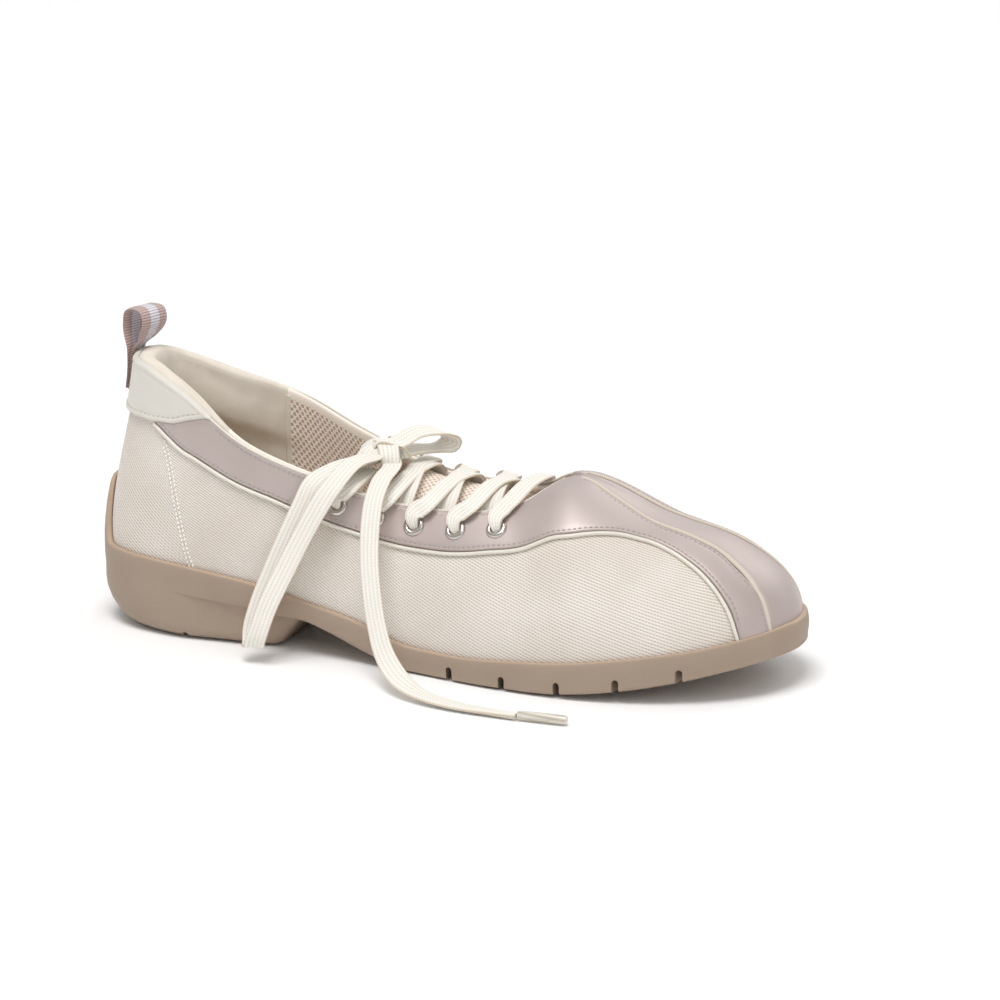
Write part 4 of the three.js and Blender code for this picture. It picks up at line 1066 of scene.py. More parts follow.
def lining(name, turns_of, first_offset):
    """The padded lining, which rolls over the collar's edge."""
    turn, side = turns_of
    body = np.linspace(0, 0.97, 36)
    shares = []
    offsets = []
    lifts = []
    for share in body:
        shares.append(np.full(len(turn), share))
        offsets.append(-UPPER_WALL - pad_depth(turn, share))
        lifts.append(np.zeros(len(turn)))
    depth = UPPER_WALL + pad_depth(turn, np.ones(len(turn)))
    middle = -(depth + first_offset) / 2
    radius = (depth - first_offset) / 2
    for angle in np.linspace(0, math.pi, 12)[1:]:
        shares.append(np.full(len(turn), 0.985 if angle < math.pi else 0.97))
        offsets.append(middle - radius * math.cos(angle))
        lifts.append(np.minimum(radius, 1.9) * math.sin(angle) + 0.15)
    share = np.stack(shares, 1)
    offset = np.stack(offsets, 1)
    lift = np.stack(lifts, 1)
    turn = np.repeat(turn[:, None], share.shape[1], 1)
    side = np.repeat(side[:, None], share.shape[1], 1)
    points = surface(turn, side, share)
    out = normal(turn, side, share)
    up = unit(rib_direction(turn, side, np.full_like(share, 0.97)))
    inner = points + out * offset[..., None] + up * lift[..., None]
    back = np.maximum(offset + 0.9, np.minimum(-0.9, offset + 4))
    outer = points + out * back[..., None] * 1.0
    outer[:, 36:] = (points + out * -0.9)[:, 36:]
    return skin(name, inner, outer, cloth_uv(inner, 36))


def lining_strip(name, turn, side, width, thickness=0.35):
    """A tape over the seam in the lining."""
    half = width / 2 / 1.8
    turns = np.linspace(turn - half, turn + half, 7)
    shares = np.linspace(0.03, 0.965, 60)
    turn, share = np.meshgrid(turns, shares, indexing="ij")
    whole = np.full_like(share, float(side))
    depth = -UPPER_WALL - pad_depth(turn, share)
    rise = thickness * np.sqrt(np.maximum(1 - np.abs(np.linspace(-1, 1, 7)) ** 4, 0))[:, None]
    points = surface(turn, whole, share)
    out = normal(turn, whole, share)
    inner = points + out * (depth - rise)[..., None]
    outer = points + out * (depth + 0.4)[..., None]
    return skin(name, inner, outer, cloth_uv(points))


def satin_panel(name, side):
    turns = np.concatenate([stations(PIPING_START, 60, 0.7), stations(60, SEAM_END, 1.1)[1:]])
    sides = np.full(len(turns), float(side))
    edge = 1.0
    lower = np.where(turns > PIPING_END, 0.0, across(PIPING_LINE, turns, sides, edge))
    on_tab = np.minimum(0.992, across(TAB_EDGE, turns, sides, 0.6))
    on_seam = across(TOE_SEAM, turns, sides, -0.9)
    top = np.where(turns < TAB_TURN, on_tab, 0.992)
    low_seam = across(TOE_SEAM, np.array([VAMP_TURN]), np.array([float(side)]), -0.9)[0]
    blend = smooth((turns - 118.8) / 1.2)
    top = np.where(turns > VAMP_TURN, on_seam, top * (1 - blend) + low_seam * blend)
    top = np.maximum(top, lower + 0.002)
    speed = line_speed(PIPING_LINE, turns, sides)
    share, distance = panel_rows(lower, top, speed, 14)
    turn = np.repeat(turns[:, None], share.shape[1], 1)
    whole = np.full_like(share, float(side))
    height = 0.12 + edge_profile(distance, PANEL_SEAT + 0.7)
    return shell(name, turn, whole, share, height, np.full_like(share, -0.5))


def toe_band(name):
    turns = np.concatenate([stations(SEAM_START - 1, 150, 1), stations(150, LAST_TURN, 0.8)[1:]])
    edges = []
    for side in (LATERAL, MEDIAL):
        sides = np.full(len(turns), float(side))
        edge = np.where(turns > SEAM_END, 0.0, across(TOE_SEAM, turns, sides, 0.9))
        edges.append(np.minimum(edge, 0.992))
    turn, side, share = vamp_grid(turns, edges[0], edges[1], 12)
    height = np.full_like(share, 0.75)
    height[:, [0, -1]] = 0.1
    height[:, [1, -2]] = 0.7
    return shell(name, turn, side, share, height, np.full_like(share, -0.5))


def heel_tab(name):
    turn, side = both_sides(stations(0, TAB_TURN, 1.0))
    lower = line_share(TAB_EDGE, turn)
    top = np.maximum(np.full(len(turn), 1.0), lower + 0.002)
    speed = line_speed(TAB_EDGE, np.abs(turn), side)
    share, distance = panel_rows(lower, top, speed, 14)
    share = np.minimum(share, 1.0)
    columns = share.shape[1]
    low_half = np.arange(columns) < columns // 2
    border = np.where(low_half, 1.0, 0.0)[None]
    height = 0.12 + edge_profile(distance, PANEL_SEAT + 1.0, 0.9, 2.1, 0.22 * 1.0)
    height = height + 0.25 * border * np.exp(-(((distance - 1.0) / 0.7) ** 2))
    turn = np.repeat(turn[:, None], columns, 1)
    side = np.repeat(side[:, None], columns, 1)
    return shell(name, turn, side, share, height, np.full_like(share, -0.5))


def line_path(line, turns, side, shift=0.0, offset=0.0):
    """Points and normals along a panel line, shifted across it and held off the cloth."""
    sides = np.full(len(turns), float(side))
    share = across(line, turns, sides, shift)
    points = surface(turns, sides, share)
    out = normal(turns, sides, share)
    return points + out * (offset + creases(points))[:, None], out


def rim_path(turns, side, share, offset, lift=0.0):
    shares = np.full(len(turns), share)
    points = surface(turns, side, shares)
    out = normal(turns, side, shares)
    up = unit(rib_direction(turns, side, shares))
    return points + out * offset + up * lift, out


# Tongue

TONGUE_SHARE = 0.88
TONGUE_TILT = 0.3
TONGUE_DROP = 0.35
TONGUE_TURNS = (87.0, 126.0)


def tongue_grid(turns, columns=26):
    under = UPPER_WALL + CLEARANCE + TONGUE_DROP
    ends = []
    for side in (LATERAL, MEDIAL):
        sides = np.full(len(turns), float(side))
        share = np.full(len(turns), TONGUE_SHARE)
        out = normal(turns, sides, share)
        lead = unit(surface(turns, sides, share + 0.04) - surface(turns, sides, share - 0.04))
        lead = unit(lead - TONGUE_TILT * out)
        ends.append((surface(turns, sides, share) - out * under, lead))
    span = np.linalg.norm(ends[0][0] - ends[1][0], axis=-1, keepdims=True) * 0.36
    a = ends[0][0]
    b = a + ends[0][1] * span
    d = ends[1][0]
    c = d + ends[1][1] * span
    t = np.linspace(0, 1, columns)[None, :, None]
    s = 1 - t
    a, b, c, d = (v[:, None] for v in (a, b, c, d))
    bridged = a * s**3 + b * 3 * s * s * t + c * 3 * s * t * t + d * t**3
    half = columns // 2
    turn = np.repeat(turns[:, None], columns, 1)
    share = np.concatenate([np.linspace(TONGUE_SHARE, 1, half), np.linspace(1, TONGUE_SHARE, half)])
    side = np.concatenate([np.full(half, LATERAL), np.full(half, MEDIAL)]).astype(float)
    share = np.repeat(share[None], len(turns), 0)
    side = np.repeat(side[None], len(turns), 0)
    followed = surface(turn, side, share) - normal(turn, side, share) * under
    mixing = smooth((turns - 112) / 9)[:, None, None]
    return bridged * (1 - mixing) + followed * mixing


def tongue(name):
    turns = stations(*TONGUE_TURNS, 1.3)
    top = tongue_grid(turns)
    along = unit(np.gradient(top, axis=0))
    over = unit(np.gradient(top, axis=1))
    out = unit(np.cross(along, over))
    out = out * np.sign(out[..., 2:3] + 1e-9)
    curl = np.exp(-((turns - turns[0]) / 2.2) ** 2)[:, None, None]
    top = top + out * 1.0 * curl
    lower = top - out * 2.0
    return skin(name, top, lower, cloth_uv(top))


# Insole

def insole(name):
    inset = LIP_WALL + CLEARANCE + UPPER_WALL + 0.4
    turns = stations(0, LAST_TURN, 2)
    turn = np.concatenate([turns, turns[1:-1][::-1]])
    side = np.concatenate([np.full(len(turns), LATERAL), np.full(len(turns) - 2, MEDIAL)]).astype(float)
    base_x, base_y = inset_outline(turn, side, LIP_WALL + CLEARANCE)
    base_z = seat_height(base_x) - LIP_DEPTH
    rings = []
    for rise, pull in ((0.3, 0.0), (3.3, 0.0), (4.1, 0.6), (4.2, 2.0), (3.9, 5.0), (3.8, 9.0), (3.8, 14.0)):
        x, y = inset_outline(turn, side, inset + pull)
        rings.append(np.stack([x, y, base_z + rise], -1))
    return capped_rings(name, np.array(rings), len(turns))


def capped_rings(name, rings, half, sharp=math.radians(40)):
    """Rings that run from heel along one side to the toe and back, closed above and below."""
    levels, count = rings.shape[:2]
    faces = []
    for k in range(levels - 1):
        for i in range(count):
            j = (i + 1) % count
            a, b = k * count, (k + 1) * count
            faces.append((a + i, a + j, b + j, b + i))
    for level in (0, levels - 1):
        start = level * count
        for i in range(half - 1):
            left, right = start + i, start + i + 1
            far_left = start + (count - i) % count
            far_right = start + (count - i - 1) % count
            quad = [left, right, far_right, far_left]
            clean = list(dict.fromkeys(quad))
            if len(clean) > 2:
                faces.append(clean)
    points = rings.reshape(-1, 3)
    level = np.repeat(np.linspace(0, 1, levels), count)
    uv = np.stack([points[:, 0] * MM, level], -1)
    return make_mesh(name, to_row(points), faces, uv, 1e-6, sharp)


# Sole

def lip_height(turn):
    x, _ = outline(turn, np.full_like(turn, LATERAL))
    return seat_height(x) + HEEL_FLANGE * (1 - smooth((turn - 7) / 12))


def share_at_height(turn, side, height):
    low = np.zeros_like(turn)
    high = np.ones_like(turn)
    for _ in range(26):
        middle = (low + high) / 2
        below = surface(turn, side, middle)[..., 2] < height
        low = np.where(below, middle, low)
        high = np.where(below, high, middle)
    return low


def sole_rings(turn, side):
    x, _ = outline(turn, side)
    place = x / SOLE_LENGTH
    edge_in = between(EDGE_ROWS, turn, 1, 5)
    edge_up = between(EDGE_ROWS, turn, 2, 5)
    bottom_x, _ = inset_outline(turn, side, edge_in)
    tread = tread_height(bottom_x)
    top = seat_height(x) - LIP_DEPTH
    band = tread + (top - tread) * between(BAND_ROWS, place, 1, 0.012)
    step = BLOCK_STEP * between(BAND_ROWS, place, 2, 0.012)
    rings = []

    def ring(inward, z):
        rx, ry = inset_outline(turn, side, inward)
        rings.append(np.stack([rx, ry, z + 0 * rx], -1))

    for angle in np.linspace(0, math.pi / 2, 9):
        inward = edge_in * (1 - math.sin(angle))
        rise = np.minimum(edge_up, band - tread - 0.8) * (1 - math.cos(angle))
        ring(inward + step + 0.3, tread + rise)
    notch = np.minimum(step / 1.5, 1) * 0.2
    ring(step + 0.3, band - 0.55)
    ring(step * 0.8 + 0.3 + notch, band - 0.15)
    ring(0.3 + notch, band + 0.1)
    ring(0.3, band + 0.6)
    base = surface(turn, side, np.zeros_like(turn))[..., 2]
    lip_top = lip_height(turn)
    rim_z = surface(turn, side, np.ones_like(turn))[..., 2]
    outer = CLEARANCE + LIP_WALL

    def lip(part, offset, drop=0.0):
        height = base + (lip_top - base) * part - drop
        share = share_at_height(turn, side, height)
        out = normal(turn, side, share)
        if part == 0:
            out = out * np.array([1, 1, 0])
        out = unit(out)
        hugging = surface(turn, side, share) + out * np.asarray(offset)[..., None]
        rx, ry = inset_outline(turn, side, LIP_WALL + CLEARANCE - offset)
        leaning = np.stack([rx - (lip_top - base) * part * TOE_LIP_LEAN, ry, height], -1)
        near_toe = smooth((lip_top + TOE_LIP_REACH + 3 - rim_z) / 6)[..., None]
        rings.append(hugging * (1 - near_toe) + leaning * near_toe)

    full = np.full_like(turn, outer)
    lip(0.0, full)
    lip(0.2, full)
    lip(0.4, full)
    lip(0.6, full * 0.97)
    lip(0.8, full * 0.93)
    lip(0.93, full * 0.86)
    lip(0.985, full * 0.72)
    lip(1.0, full * 0.5)
    lip(0.99, full * 0.22)
    lip(0.93, full * 0.08)
    lip(0.6, full * 0.06)
    lip(0.0, full * 0.1)
    rx, ry = inset_outline(turn, side, LIP_WALL)
    rings.append(np.stack([rx, ry, base - CLEARANCE], -1))
    return np.array(rings)


def groove_cutter(x, width, depth):
    """A slot with a round roof, across the whole sole."""
    floor = -3.0
    crown = float(tread_height(np.array([x]))[0]) + depth
    profile = [(-width / 2, floor), (width / 2, floor)]
    for angle in np.linspace(0, math.pi, 7):
        profile.append((width / 2 * math.cos(angle), crown - width / 2 + width / 2 * math.sin(angle)))
    points = [(x + px, y, pz) for y in (-BALL_WIDTH, BALL_WIDTH) for px, pz in profile]
    count = len(profile)
    faces = [tuple(range(count))[::-1], tuple(range(count, 2 * count))]
    faces += [(i, (i + 1) % count, count + (i + 1) % count, count + i) for i in range(count)]
    return make_mesh("cutter", to_row(points), faces)


def sole(name):
    turns = np.concatenate([stations(0, 24, 1), stations(24, 156, 1.5)[1:], stations(156, LAST_TURN, 1)[1:]])
    turn = np.concatenate([turns, turns[1:][::-1]])
    side = np.concatenate([np.full(len(turns), LATERAL), np.full(len(turns) - 1, MEDIAL)]).astype(float)
    piece = capped_rings(name, sole_rings(turn, side), len(turns), math.radians(35))
    places = [(FIRST_GROOVE + i * GROOVE_PITCH, 2.2, 4.7) for i in range(GROOVE_COUNT)]
    places.append((HEEL_GROOVE, 2.2, 1.9))
    for place in places:
        cutter = groove_cutter(*place)
        cut = piece.modifiers.new("slot", "BOOLEAN")
        cut.operation = "DIFFERENCE"
        cut.solver = "EXACT"
        cut.object = cutter
        apply_modifiers(piece)
        bpy.data.objects.remove(cutter, do_unlink=True)
    piece.data.shade_smooth()
    piece.data.set_sharp_from_angle(angle=math.radians(35))
    return piece


def apply_modifiers(piece):
    """Makes the evaluated shape the piece's own mesh."""
    graph = bpy.context.evaluated_depsgraph_get()
    graph.update()
    mesh = bpy.data.meshes.new_from_object(piece.evaluated_get(graph))
    old = piece.data
    piece.modifiers.clear()
    piece.data = mesh
    bpy.data.meshes.remove(old)


# Eyelets

EYELET_COUNT = 5
FIRST_EYELET = 78.0
EYELET_PITCH = 6.55
EYELET_SEAT = 1.15


def eyelet_turn(i):
    return FIRST_EYELET + EYELET_PITCH * i


def eyelet_share(i):
    return 0.83 + (0.795 - 0.83) * i / (EYELET_COUNT - 1)


def on_surface(turn, side, share):
    at = [np.array(float(v)) for v in (turn, side, share)]
    return surface(*at), normal(*at), unit(rib_direction(*at))


def level_seat(turn, side, share, radius):
    """The middle, way out and way up of a ring that rests on the cloth round it."""
    point, _, up = on_surface(turn, side, share)
    a_turn = radius / np.linalg.norm(on_surface(turn + 1, side, share)[0] - point)
    a_share = radius / np.linalg.norm(on_surface(turn, side, share + 0.02)[0] - point) * 0.02
    ahead = on_surface(turn + a_turn, side, share)[0]
    behind = on_surface(turn - a_turn, side, share)[0]
    above = on_surface(turn, side, share + a_share)[0]
    below = on_surface(turn, side, share - a_share)[0]
    level = unit(np.cross(ahead - behind, above - below) * -side)
    highest = max(float((p - point) @ level) for p in (ahead, behind, above, below, point))
    up = unit(up - level * (up @ level))
    return point + level * highest * 0.75, level, up


def eyelet(name, i, side):
    """A rolled flange, its barrel and the closed dark inside."""
    point, out, up = level_seat(eyelet_turn(i), side, eyelet_share(i), 3.2)
    along = np.cross(up, out)
    seat = EYELET_SEAT
    profile = [(0.0, -1.2), (1.7, -1.2), (1.72, seat + 0.35), (1.9, seat + 0.72), (2.25, seat + 0.98)]
    profile += [(2.7, seat + 1.02), (3.15, seat + 0.85), (3.5, seat + 0.5)]
    profile += [(3.68, seat + 0.12), (3.6, seat - 0.2)]
    profile += [(2.2, seat - 0.4), (2.1, -1.6), (0.0, -1.6)]
    sides = 28
    angle = np.linspace(0, 2 * np.pi, sides, endpoint=False)
    rings = []
    for radius, height in profile:
        spread = along[None] * np.cos(angle)[:, None] + up[None] * np.sin(angle)[:, None]
        rings.append(point + out * height + spread * radius)
    return ring_mesh(name, np.array(rings), np.arange(len(profile), dtype=float))


# Lace

KNOT = (102, -3, 64)
BOW_LATERAL = (
    (102.6, -3.6, 65, 75, 0.6, 1.2), (100.7, -10, 64.6, 60), (98.2, -21, 64.6, 50),
    (95, -31.6, 58.8, 20), (92.2, -34.9, 53.5, 0),
    (87, -38, 42.6, 0), (82.2, -42, 31, 0), (78, -46, 20.2, 0), (74.6, -48.2, 9, 0),
    (72.6, -46.4, 5.6, -90), (71, -43.6, 9, -180),
    (72.5, -41, 18.1, -180), (76, -37.6, 29.3, -180), (80.4, -34.8, 41.2, -180), (84.6, -32, 51.9, -175),
    (87.2, -29, 58.8, -150), (91.5, -20, 62.1, -120), (96.7, -11, 62.6, -120),
    (101, -4, 62.4, -110, 0.6, 1.2),
)
BOW_MEDIAL = (
    (102.4, -2.6, 65.4, 60, 0.55, 1.2), (105, 3, 66.9, 50), (109.5, 9, 69.4, 55), (114, 16, 68.2, 80),
    (117, 21.5, 63.8, 165),
    (113.6, 18, 62.2, 240), (109, 10.5, 63, 240), (105.2, 3.9, 63.5, 235),
    (102.6, -1.6, 63, 240, 0.6, 1.2),
)
END_LATERAL = (
    (103.6, -3.4, 63.4, 80), (107.4, -9.3, 62, 60), (108.4, -21, 59.8, 50), (109.8, -31.5, 54.4, 15),
    (111.6, -39, 41.2, 0),
    (114.8, -45, 29.5, 0), (118.4, -49.5, 19.4, 5), (123.4, -55, 11.2, 25), (131.5, -61.6, 5.4, 60),
    (141.1, -65.9, 2.2, 85), (153.4, -69, 1.1, 90), (166.3, -71, 1.1, 90), (177, -72.2, 1.1, 90),
)
# Shares of the lace's width and thickness where its end is rolled up into the film.
END_ROLL = ((0.95, 1.0), (0.72, 1.15), (0.48, 1.5))
TIP_LATERAL = ((177.6, -72.25, 1.6), (194.2, -71.6, 1.6))
TIP_RADIUS = 1.5


def catmull(points, count):
    """A centripetal curve through points, at even steps of its length."""
    points = np.asarray(points, float)
    full = np.concatenate([2 * points[:1] - points[1:2], points, 2 * points[-1:] - points[-2:-1]])
    knots = np.concatenate([[0], np.cumsum(np.linalg.norm(np.diff(full[:, :3], axis=0), axis=1) ** 0.5)])
    dense = []
    for i in range(1, len(full) - 2):
        t0, t1, t2, t3 = knots[i - 1 : i + 3]
        p0, p1, p2, p3 = full[i - 1 : i + 3]
        for t in np.linspace(t1, t2, 24, endpoint=i == len(full) - 3):
            a1 = (t1 - t) / (t1 - t0) * p0 + (t - t0) / (t1 - t0) * p1
            a2 = (t2 - t) / (t2 - t1) * p1 + (t - t1) / (t2 - t1) * p2
            a3 = (t3 - t) / (t3 - t2) * p2 + (t - t2) / (t3 - t2) * p3
            b1 = (t2 - t) / (t2 - t0) * a1 + (t - t0) / (t2 - t0) * a2
            b2 = (t3 - t) / (t3 - t1) * a2 + (t - t1) / (t3 - t1) * a3
            dense.append((t2 - t) / (t2 - t1) * b1 + (t - t1) / (t2 - t1) * b2)
    dense = np.array(dense)
    run = np.concatenate([[0], np.cumsum(np.linalg.norm(np.diff(dense[:, :3], axis=0), axis=1))])
    even = np.linspace(0, run[-1], count)
    return np.stack([np.interp(even, run, dense[:, k]) for k in range(dense.shape[1])], 1), run[-1]


# Half the lace's section: across as a share of its width, and its thickness as a share.
RIB_COUNT = 5


def lace_section():
    """A flat tube's section with lengthwise ribs on both faces."""
    across_share = np.linspace(-0.5, 0.5, 4 * RIB_COUNT + 1)
    edge = np.sqrt(np.clip(1 - (np.abs(across_share) / 0.5) ** 6, 0, 1))
    rib_wave = 0.05 * np.cos(across_share * 2 * np.pi * RIB_COUNT) * -1
    half = 0.5 * edge * (0.93 + rib_wave)
    top = list(zip(across_share, half))
    bottom = [(w, -h) for w, h in reversed(top[1:-1])]
    return np.array(top + bottom)


def lace_strip(name, route, spacing=1.2):
    """A flat lace along a route of x, y, z, face angle and, where given, width and thickness shares."""
    rows = np.array([tuple(row) + (1.0, 1.0) * (len(row) == 4) for row in route], float)
    rough = np.sum(np.linalg.norm(np.diff(rows[:, :3], axis=0), axis=1))
    path, length = catmull(rows, max(8, int(rough / spacing)))
    centre = path[:, :3]
    face = np.radians(path[:, 3])
    tangent = unit(np.gradient(centre, axis=0))
    out = np.stack([np.zeros_like(face), -np.cos(face), np.sin(face)], 1)
    out = unit(out - tangent * np.sum(out * tangent, 1, keepdims=True))
    side = np.cross(tangent, out)
    section = lace_section()
    wide = section[None, :, 0] * LACE_WIDTH * path[:, 4:5]
    tall = section[None, :, 1] * LACE_THICKNESS * path[:, 5:6]
    rings = centre[:, None] + side[:, None] * wide[..., None] + out[:, None] * tall[..., None]
    middle_first = np.repeat(rings[:1].mean(1, keepdims=True), rings.shape[1], 1)
    middle_last = np.repeat(rings[-1:].mean(1, keepdims=True), rings.shape[1], 1)
    rings = np.concatenate([middle_first, rings, middle_last])
    count = rings.shape[1]
    faces = []
    for i in range(len(rings) - 1):
        for j in range(count):
            k = (j + 1) % count
            a, b = i * count, (i + 1) * count
            faces.append((a + j, a + k, b + k, b + j))
    run = np.concatenate([[0], np.linspace(0, length, len(path)), [length]])
    uv = np.stack(np.broadcast_arrays(run[:, None] * MM, (section[:, 0] + 0.5)[None] * 0.5), -1)
    piece = make_mesh(name, to_row(rings.reshape(-1, 3)), faces, uv.reshape(-1, 2), 1e-6)
    return piece, to_row(centre), length * MM


LACE_OVER = EYELET_SEAT + 1.02 + 0.25 + LACE_THICKNESS / 2


def face_angle(out):
    return math.degrees(math.atan2(out[2], -out[1]))


def from_eyelet(i, side):
    """Rows that bring the lace, gathered, out of its eyelet and flat over the edge of the throat."""
    turn, share = eyelet_turn(i), eyelet_share(i)
    point, out, up = on_surface(turn, side, share)
    over, over_out, _ = on_surface(turn + 0.6, side, 0.94)
    rim, rim_out, rim_up = on_surface(turn + 2, side, 1.0)
    angle, over_angle = face_angle(out), face_angle(over_out)
    rows = [
        (*(point + out * -0.8 - up * 0.2), angle, 0.42, 1.9),
        (*(point + out * 1.5 + up * 0.1), angle, 0.46, 2.0),
        (*(point + out * (LACE_OVER + 0.35) + up * 2.6), angle, 0.78, 1.35),
        (*(over + over_out * (LACE_OVER - 0.2)), over_angle, 1.0, 1.0),
    ]
    face = face_angle(rim_out)
    lifted = rim + rim_out * (LACE_OVER - 0.4) + np.array([0, 0, 0.7])
    rows.append((*lifted, face + (90 - face) * 0.3, 1.0, 1.0))
    return rows


def crossing_rows(i, side, far_turn):
    """A strand from its eyelet across the throat and down under the far edge."""
    rows = from_eyelet(i, side)
    far, _, _ = on_surface(far_turn, -side, 1.0)
    near = np.array(rows[-1][:3])
    middle = (near + far) / 2
    middle[2] = max(near[2], far[2]) + (3.6 if side == LATERAL else 2.2)
    rows.append((*middle, 90.0, 1.0, 1.0))
    rows.append((far[0], far[1] + side * 6.0, far[2] + 2.6, 90 - side * 15, 1.0, 1.0))
    rows.append((far[0] + 0.3, far[1] + side * 1.2, far[2] - 1.6, 90 - side * 42, 0.96, 1.0))
    rows.append((far[0] + 0.5, far[1] - side * 2.2, far[2] - 4.6, 90 - side * 55, 0.9, 1.0))
    return rows


def bar_rows(i):
    """The bar that joins the last two eyelets over the throat."""
    near = from_eyelet(i, LATERAL)
    rows = from_eyelet(i, MEDIAL)
    far = [(x, y, z, 180 - angle if angle < 90 else angle, w, t) for x, y, z, angle, w, t in rows]
    middle = (np.array(near[-1][:3]) + np.array(far[-1][:3])) / 2
    middle[2] = max(near[-1][2], far[-1][2]) + 1.6
    return near + [(*middle, 90.0, 1.0, 1.0)] + far[::-1]


# Stitches

def stitch_tree():
    """Geometry nodes: a round stitch at each pitch along the curves, turned their way."""
    tree = bpy.data.node_groups.new("stitches", "GeometryNodeTree")
    face = tree.interface
    face.new_socket("Geometry", in_out="INPUT", socket_type="NodeSocketGeometry")
    for name, value in (("Pitch", 0.0022), ("Length", 0.0015), ("Width", 0.0005)):
        socket = face.new_socket(name, in_out="INPUT", socket_type="NodeSocketFloat")
        socket.default_value = value
    face.new_socket("Thread", in_out="INPUT", socket_type="NodeSocketMaterial")
    face.new_socket("Geometry", in_out="OUTPUT", socket_type="NodeSocketGeometry")
    into = add_node(tree, "NodeGroupInput").outputs
    ball = add_node(tree, "GeometryNodeMeshUVSphere", None, {"Segments": 6, "Rings": 4, "Radius": 0.5})
    at = add_node(
        tree,
        "GeometryNodeCurveToPoints",
        {"mode": "LENGTH"},
        {"Curve": into["Geometry"], "Length": into["Pitch"]},
    )
    size = add_node(
        tree, "ShaderNodeCombineXYZ", None, {"X": into["Width"], "Y": into["Width"], "Z": into["Length"]}
    )
    placed = add_node(
        tree,
        "GeometryNodeInstanceOnPoints",
        None,
        {
            "Points": at.outputs["Points"],
            "Instance": ball.outputs["Mesh"],
            "Rotation": at.outputs["Rotation"],
            "Scale": size.outputs[0],
        },
    )
    real = add_node(tree, "GeometryNodeRealizeInstances", None, {"Geometry": placed.outputs[0]})
    dressed = add_node(
        tree, "GeometryNodeSetMaterial", None, {"Geometry": real.outputs[0], "Material": into["Thread"]}
    )
    add_node(tree, "NodeGroupOutput", None, {"Geometry": dressed.outputs[0]})
    return tree


def stitched(name, paths, thread, pitch, length, width):
    """Stitches along paths of millimetre points, as one plain mesh."""
    curve = bpy.data.curves.new(name + "_lines", "CURVE")
    curve.dimensions = "3D"
    for path in paths:
        spline = curve.splines.new("POLY")
        spline.points.add(len(path) - 1)
        for point, place in zip(spline.points, to_row(path)):
            point.co = (*place, 1.0)
    lines = bpy.data.objects.new(name + "_lines", curve)
    bpy.context.collection.objects.link(lines)
    tree = bpy.data.node_groups.get("stitches") or stitch_tree()
    change = lines.modifiers.new("stitches", "NODES")
    change.node_group = tree
    values = {"Pitch": pitch * MM, "Length": length * MM, "Width": width * MM, "Thread": thread}
    for item in tree.interface.items_tree:
        if item.in_out == "INPUT" and item.name in values:
            change[item.identifier] = values[item.name]
    graph = bpy.context.evaluated_depsgraph_get()
    graph.update()
    mesh = bpy.data.meshes.new_from_object(lines.evaluated_get(graph))
    bpy.data.objects.remove(lines, do_unlink=True)
    mesh.shade_smooth()
    piece = bpy.data.objects.new(name, mesh)
    bpy.context.collection.objects.link(piece)
    return piece


# Operators

class UpperSettings(bpy.types.PropertyGroup):
    """Sizes of the upper's trim."""

    piping: bpy.props.FloatProperty(
        name="Piping", description="Width of the cord between satin and mesh", default=0.0013, unit="LENGTH"
    )
    braid: bpy.props.FloatProperty(
        name="Toe tape",
        description="Width of the corded tape beside the toe band",
        default=0.0018,
        unit="LENGTH",
    )
    pitch: bpy.props.FloatProperty(
        name="Stitch pitch", description="From one stitch to the next", default=0.0018, unit="LENGTH"
    )


class StudioSettings(bpy.types.PropertyGroup):
    """The floor's colour and the camera's place."""

    floor: bpy.props.FloatVectorProperty(
        name="Floor", description="Colour of the floor", subtype="COLOR", size=3, default=(0.95, 0.95, 0.95)
    )
    azimuth: bpy.props.FloatProperty(
        name="Azimuth", description="Camera's turn round the shoe", default=math.radians(22), unit="ROTATION"
    )
    elevation: bpy.props.FloatProperty(
        name="Elevation",
        description="Camera's height over the floor",
        default=math.radians(16),
        unit="ROTATION",
    )


class SNEAKER_OT_upper(bpy.types.Operator):
    """Make the outer cloth and the lining of the upper"""

    bl_idname = "sneaker.upper"
    bl_label = "Upper"

    def execute(self, context):
        mesh = material("mesh", woven_mesh)
        suede = material("suede", suede_lining)
        net = material("lining_net", net_lining, "lining_net", 0.0022)
        finish_piece(heel_mesh("heel_mesh"), mesh, "mesh", "upper")
        heel_turns = both_sides(stations(0, LINING_SEAM, 1.4))
        finish_piece(lining("heel_lining", heel_turns, 0.4), suede, "insole", "upper")
        for side, word in ((LATERAL, "lateral"), (MEDIAL, "medial")):
            finish_piece(side_mesh("side_mesh_" + word, side), mesh, "mesh", "upper")
            turns = stations(LINING_SEAM, VAMP_TURN, 1.4)
            front = (turns, np.full(len(turns), float(side)))
            finish_piece(lining("net_lining_" + word, front, 0.4), net, "net", "upper")
            finish_piece(lining_strip("lining_tape_" + word, LINING_SEAM, side, 2.6), suede, "insole")
        return {"FINISHED"}


class SNEAKER_OT_panels(bpy.types.Operator):
    """Make the satin panels, the toe band and the heel tab"""

    bl_idname = "sneaker.panels"
    bl_label = "Panels"

    def execute(self, context):
        satin = material("satin", satin_cloth)
        leather = material("leather", smooth_leather)
        for side, word in ((LATERAL, "lateral"), (MEDIAL, "medial")):
            finish_piece(satin_panel("satin_panel_" + word, side), satin, "satin", "satin_" + word)
        finish_piece(toe_band("toe_panel"), satin, "satin", "toe_band")
        finish_piece(heel_tab("collar_tab"), leather, "tab", "heel_tab")
        return {"FINISHED"}


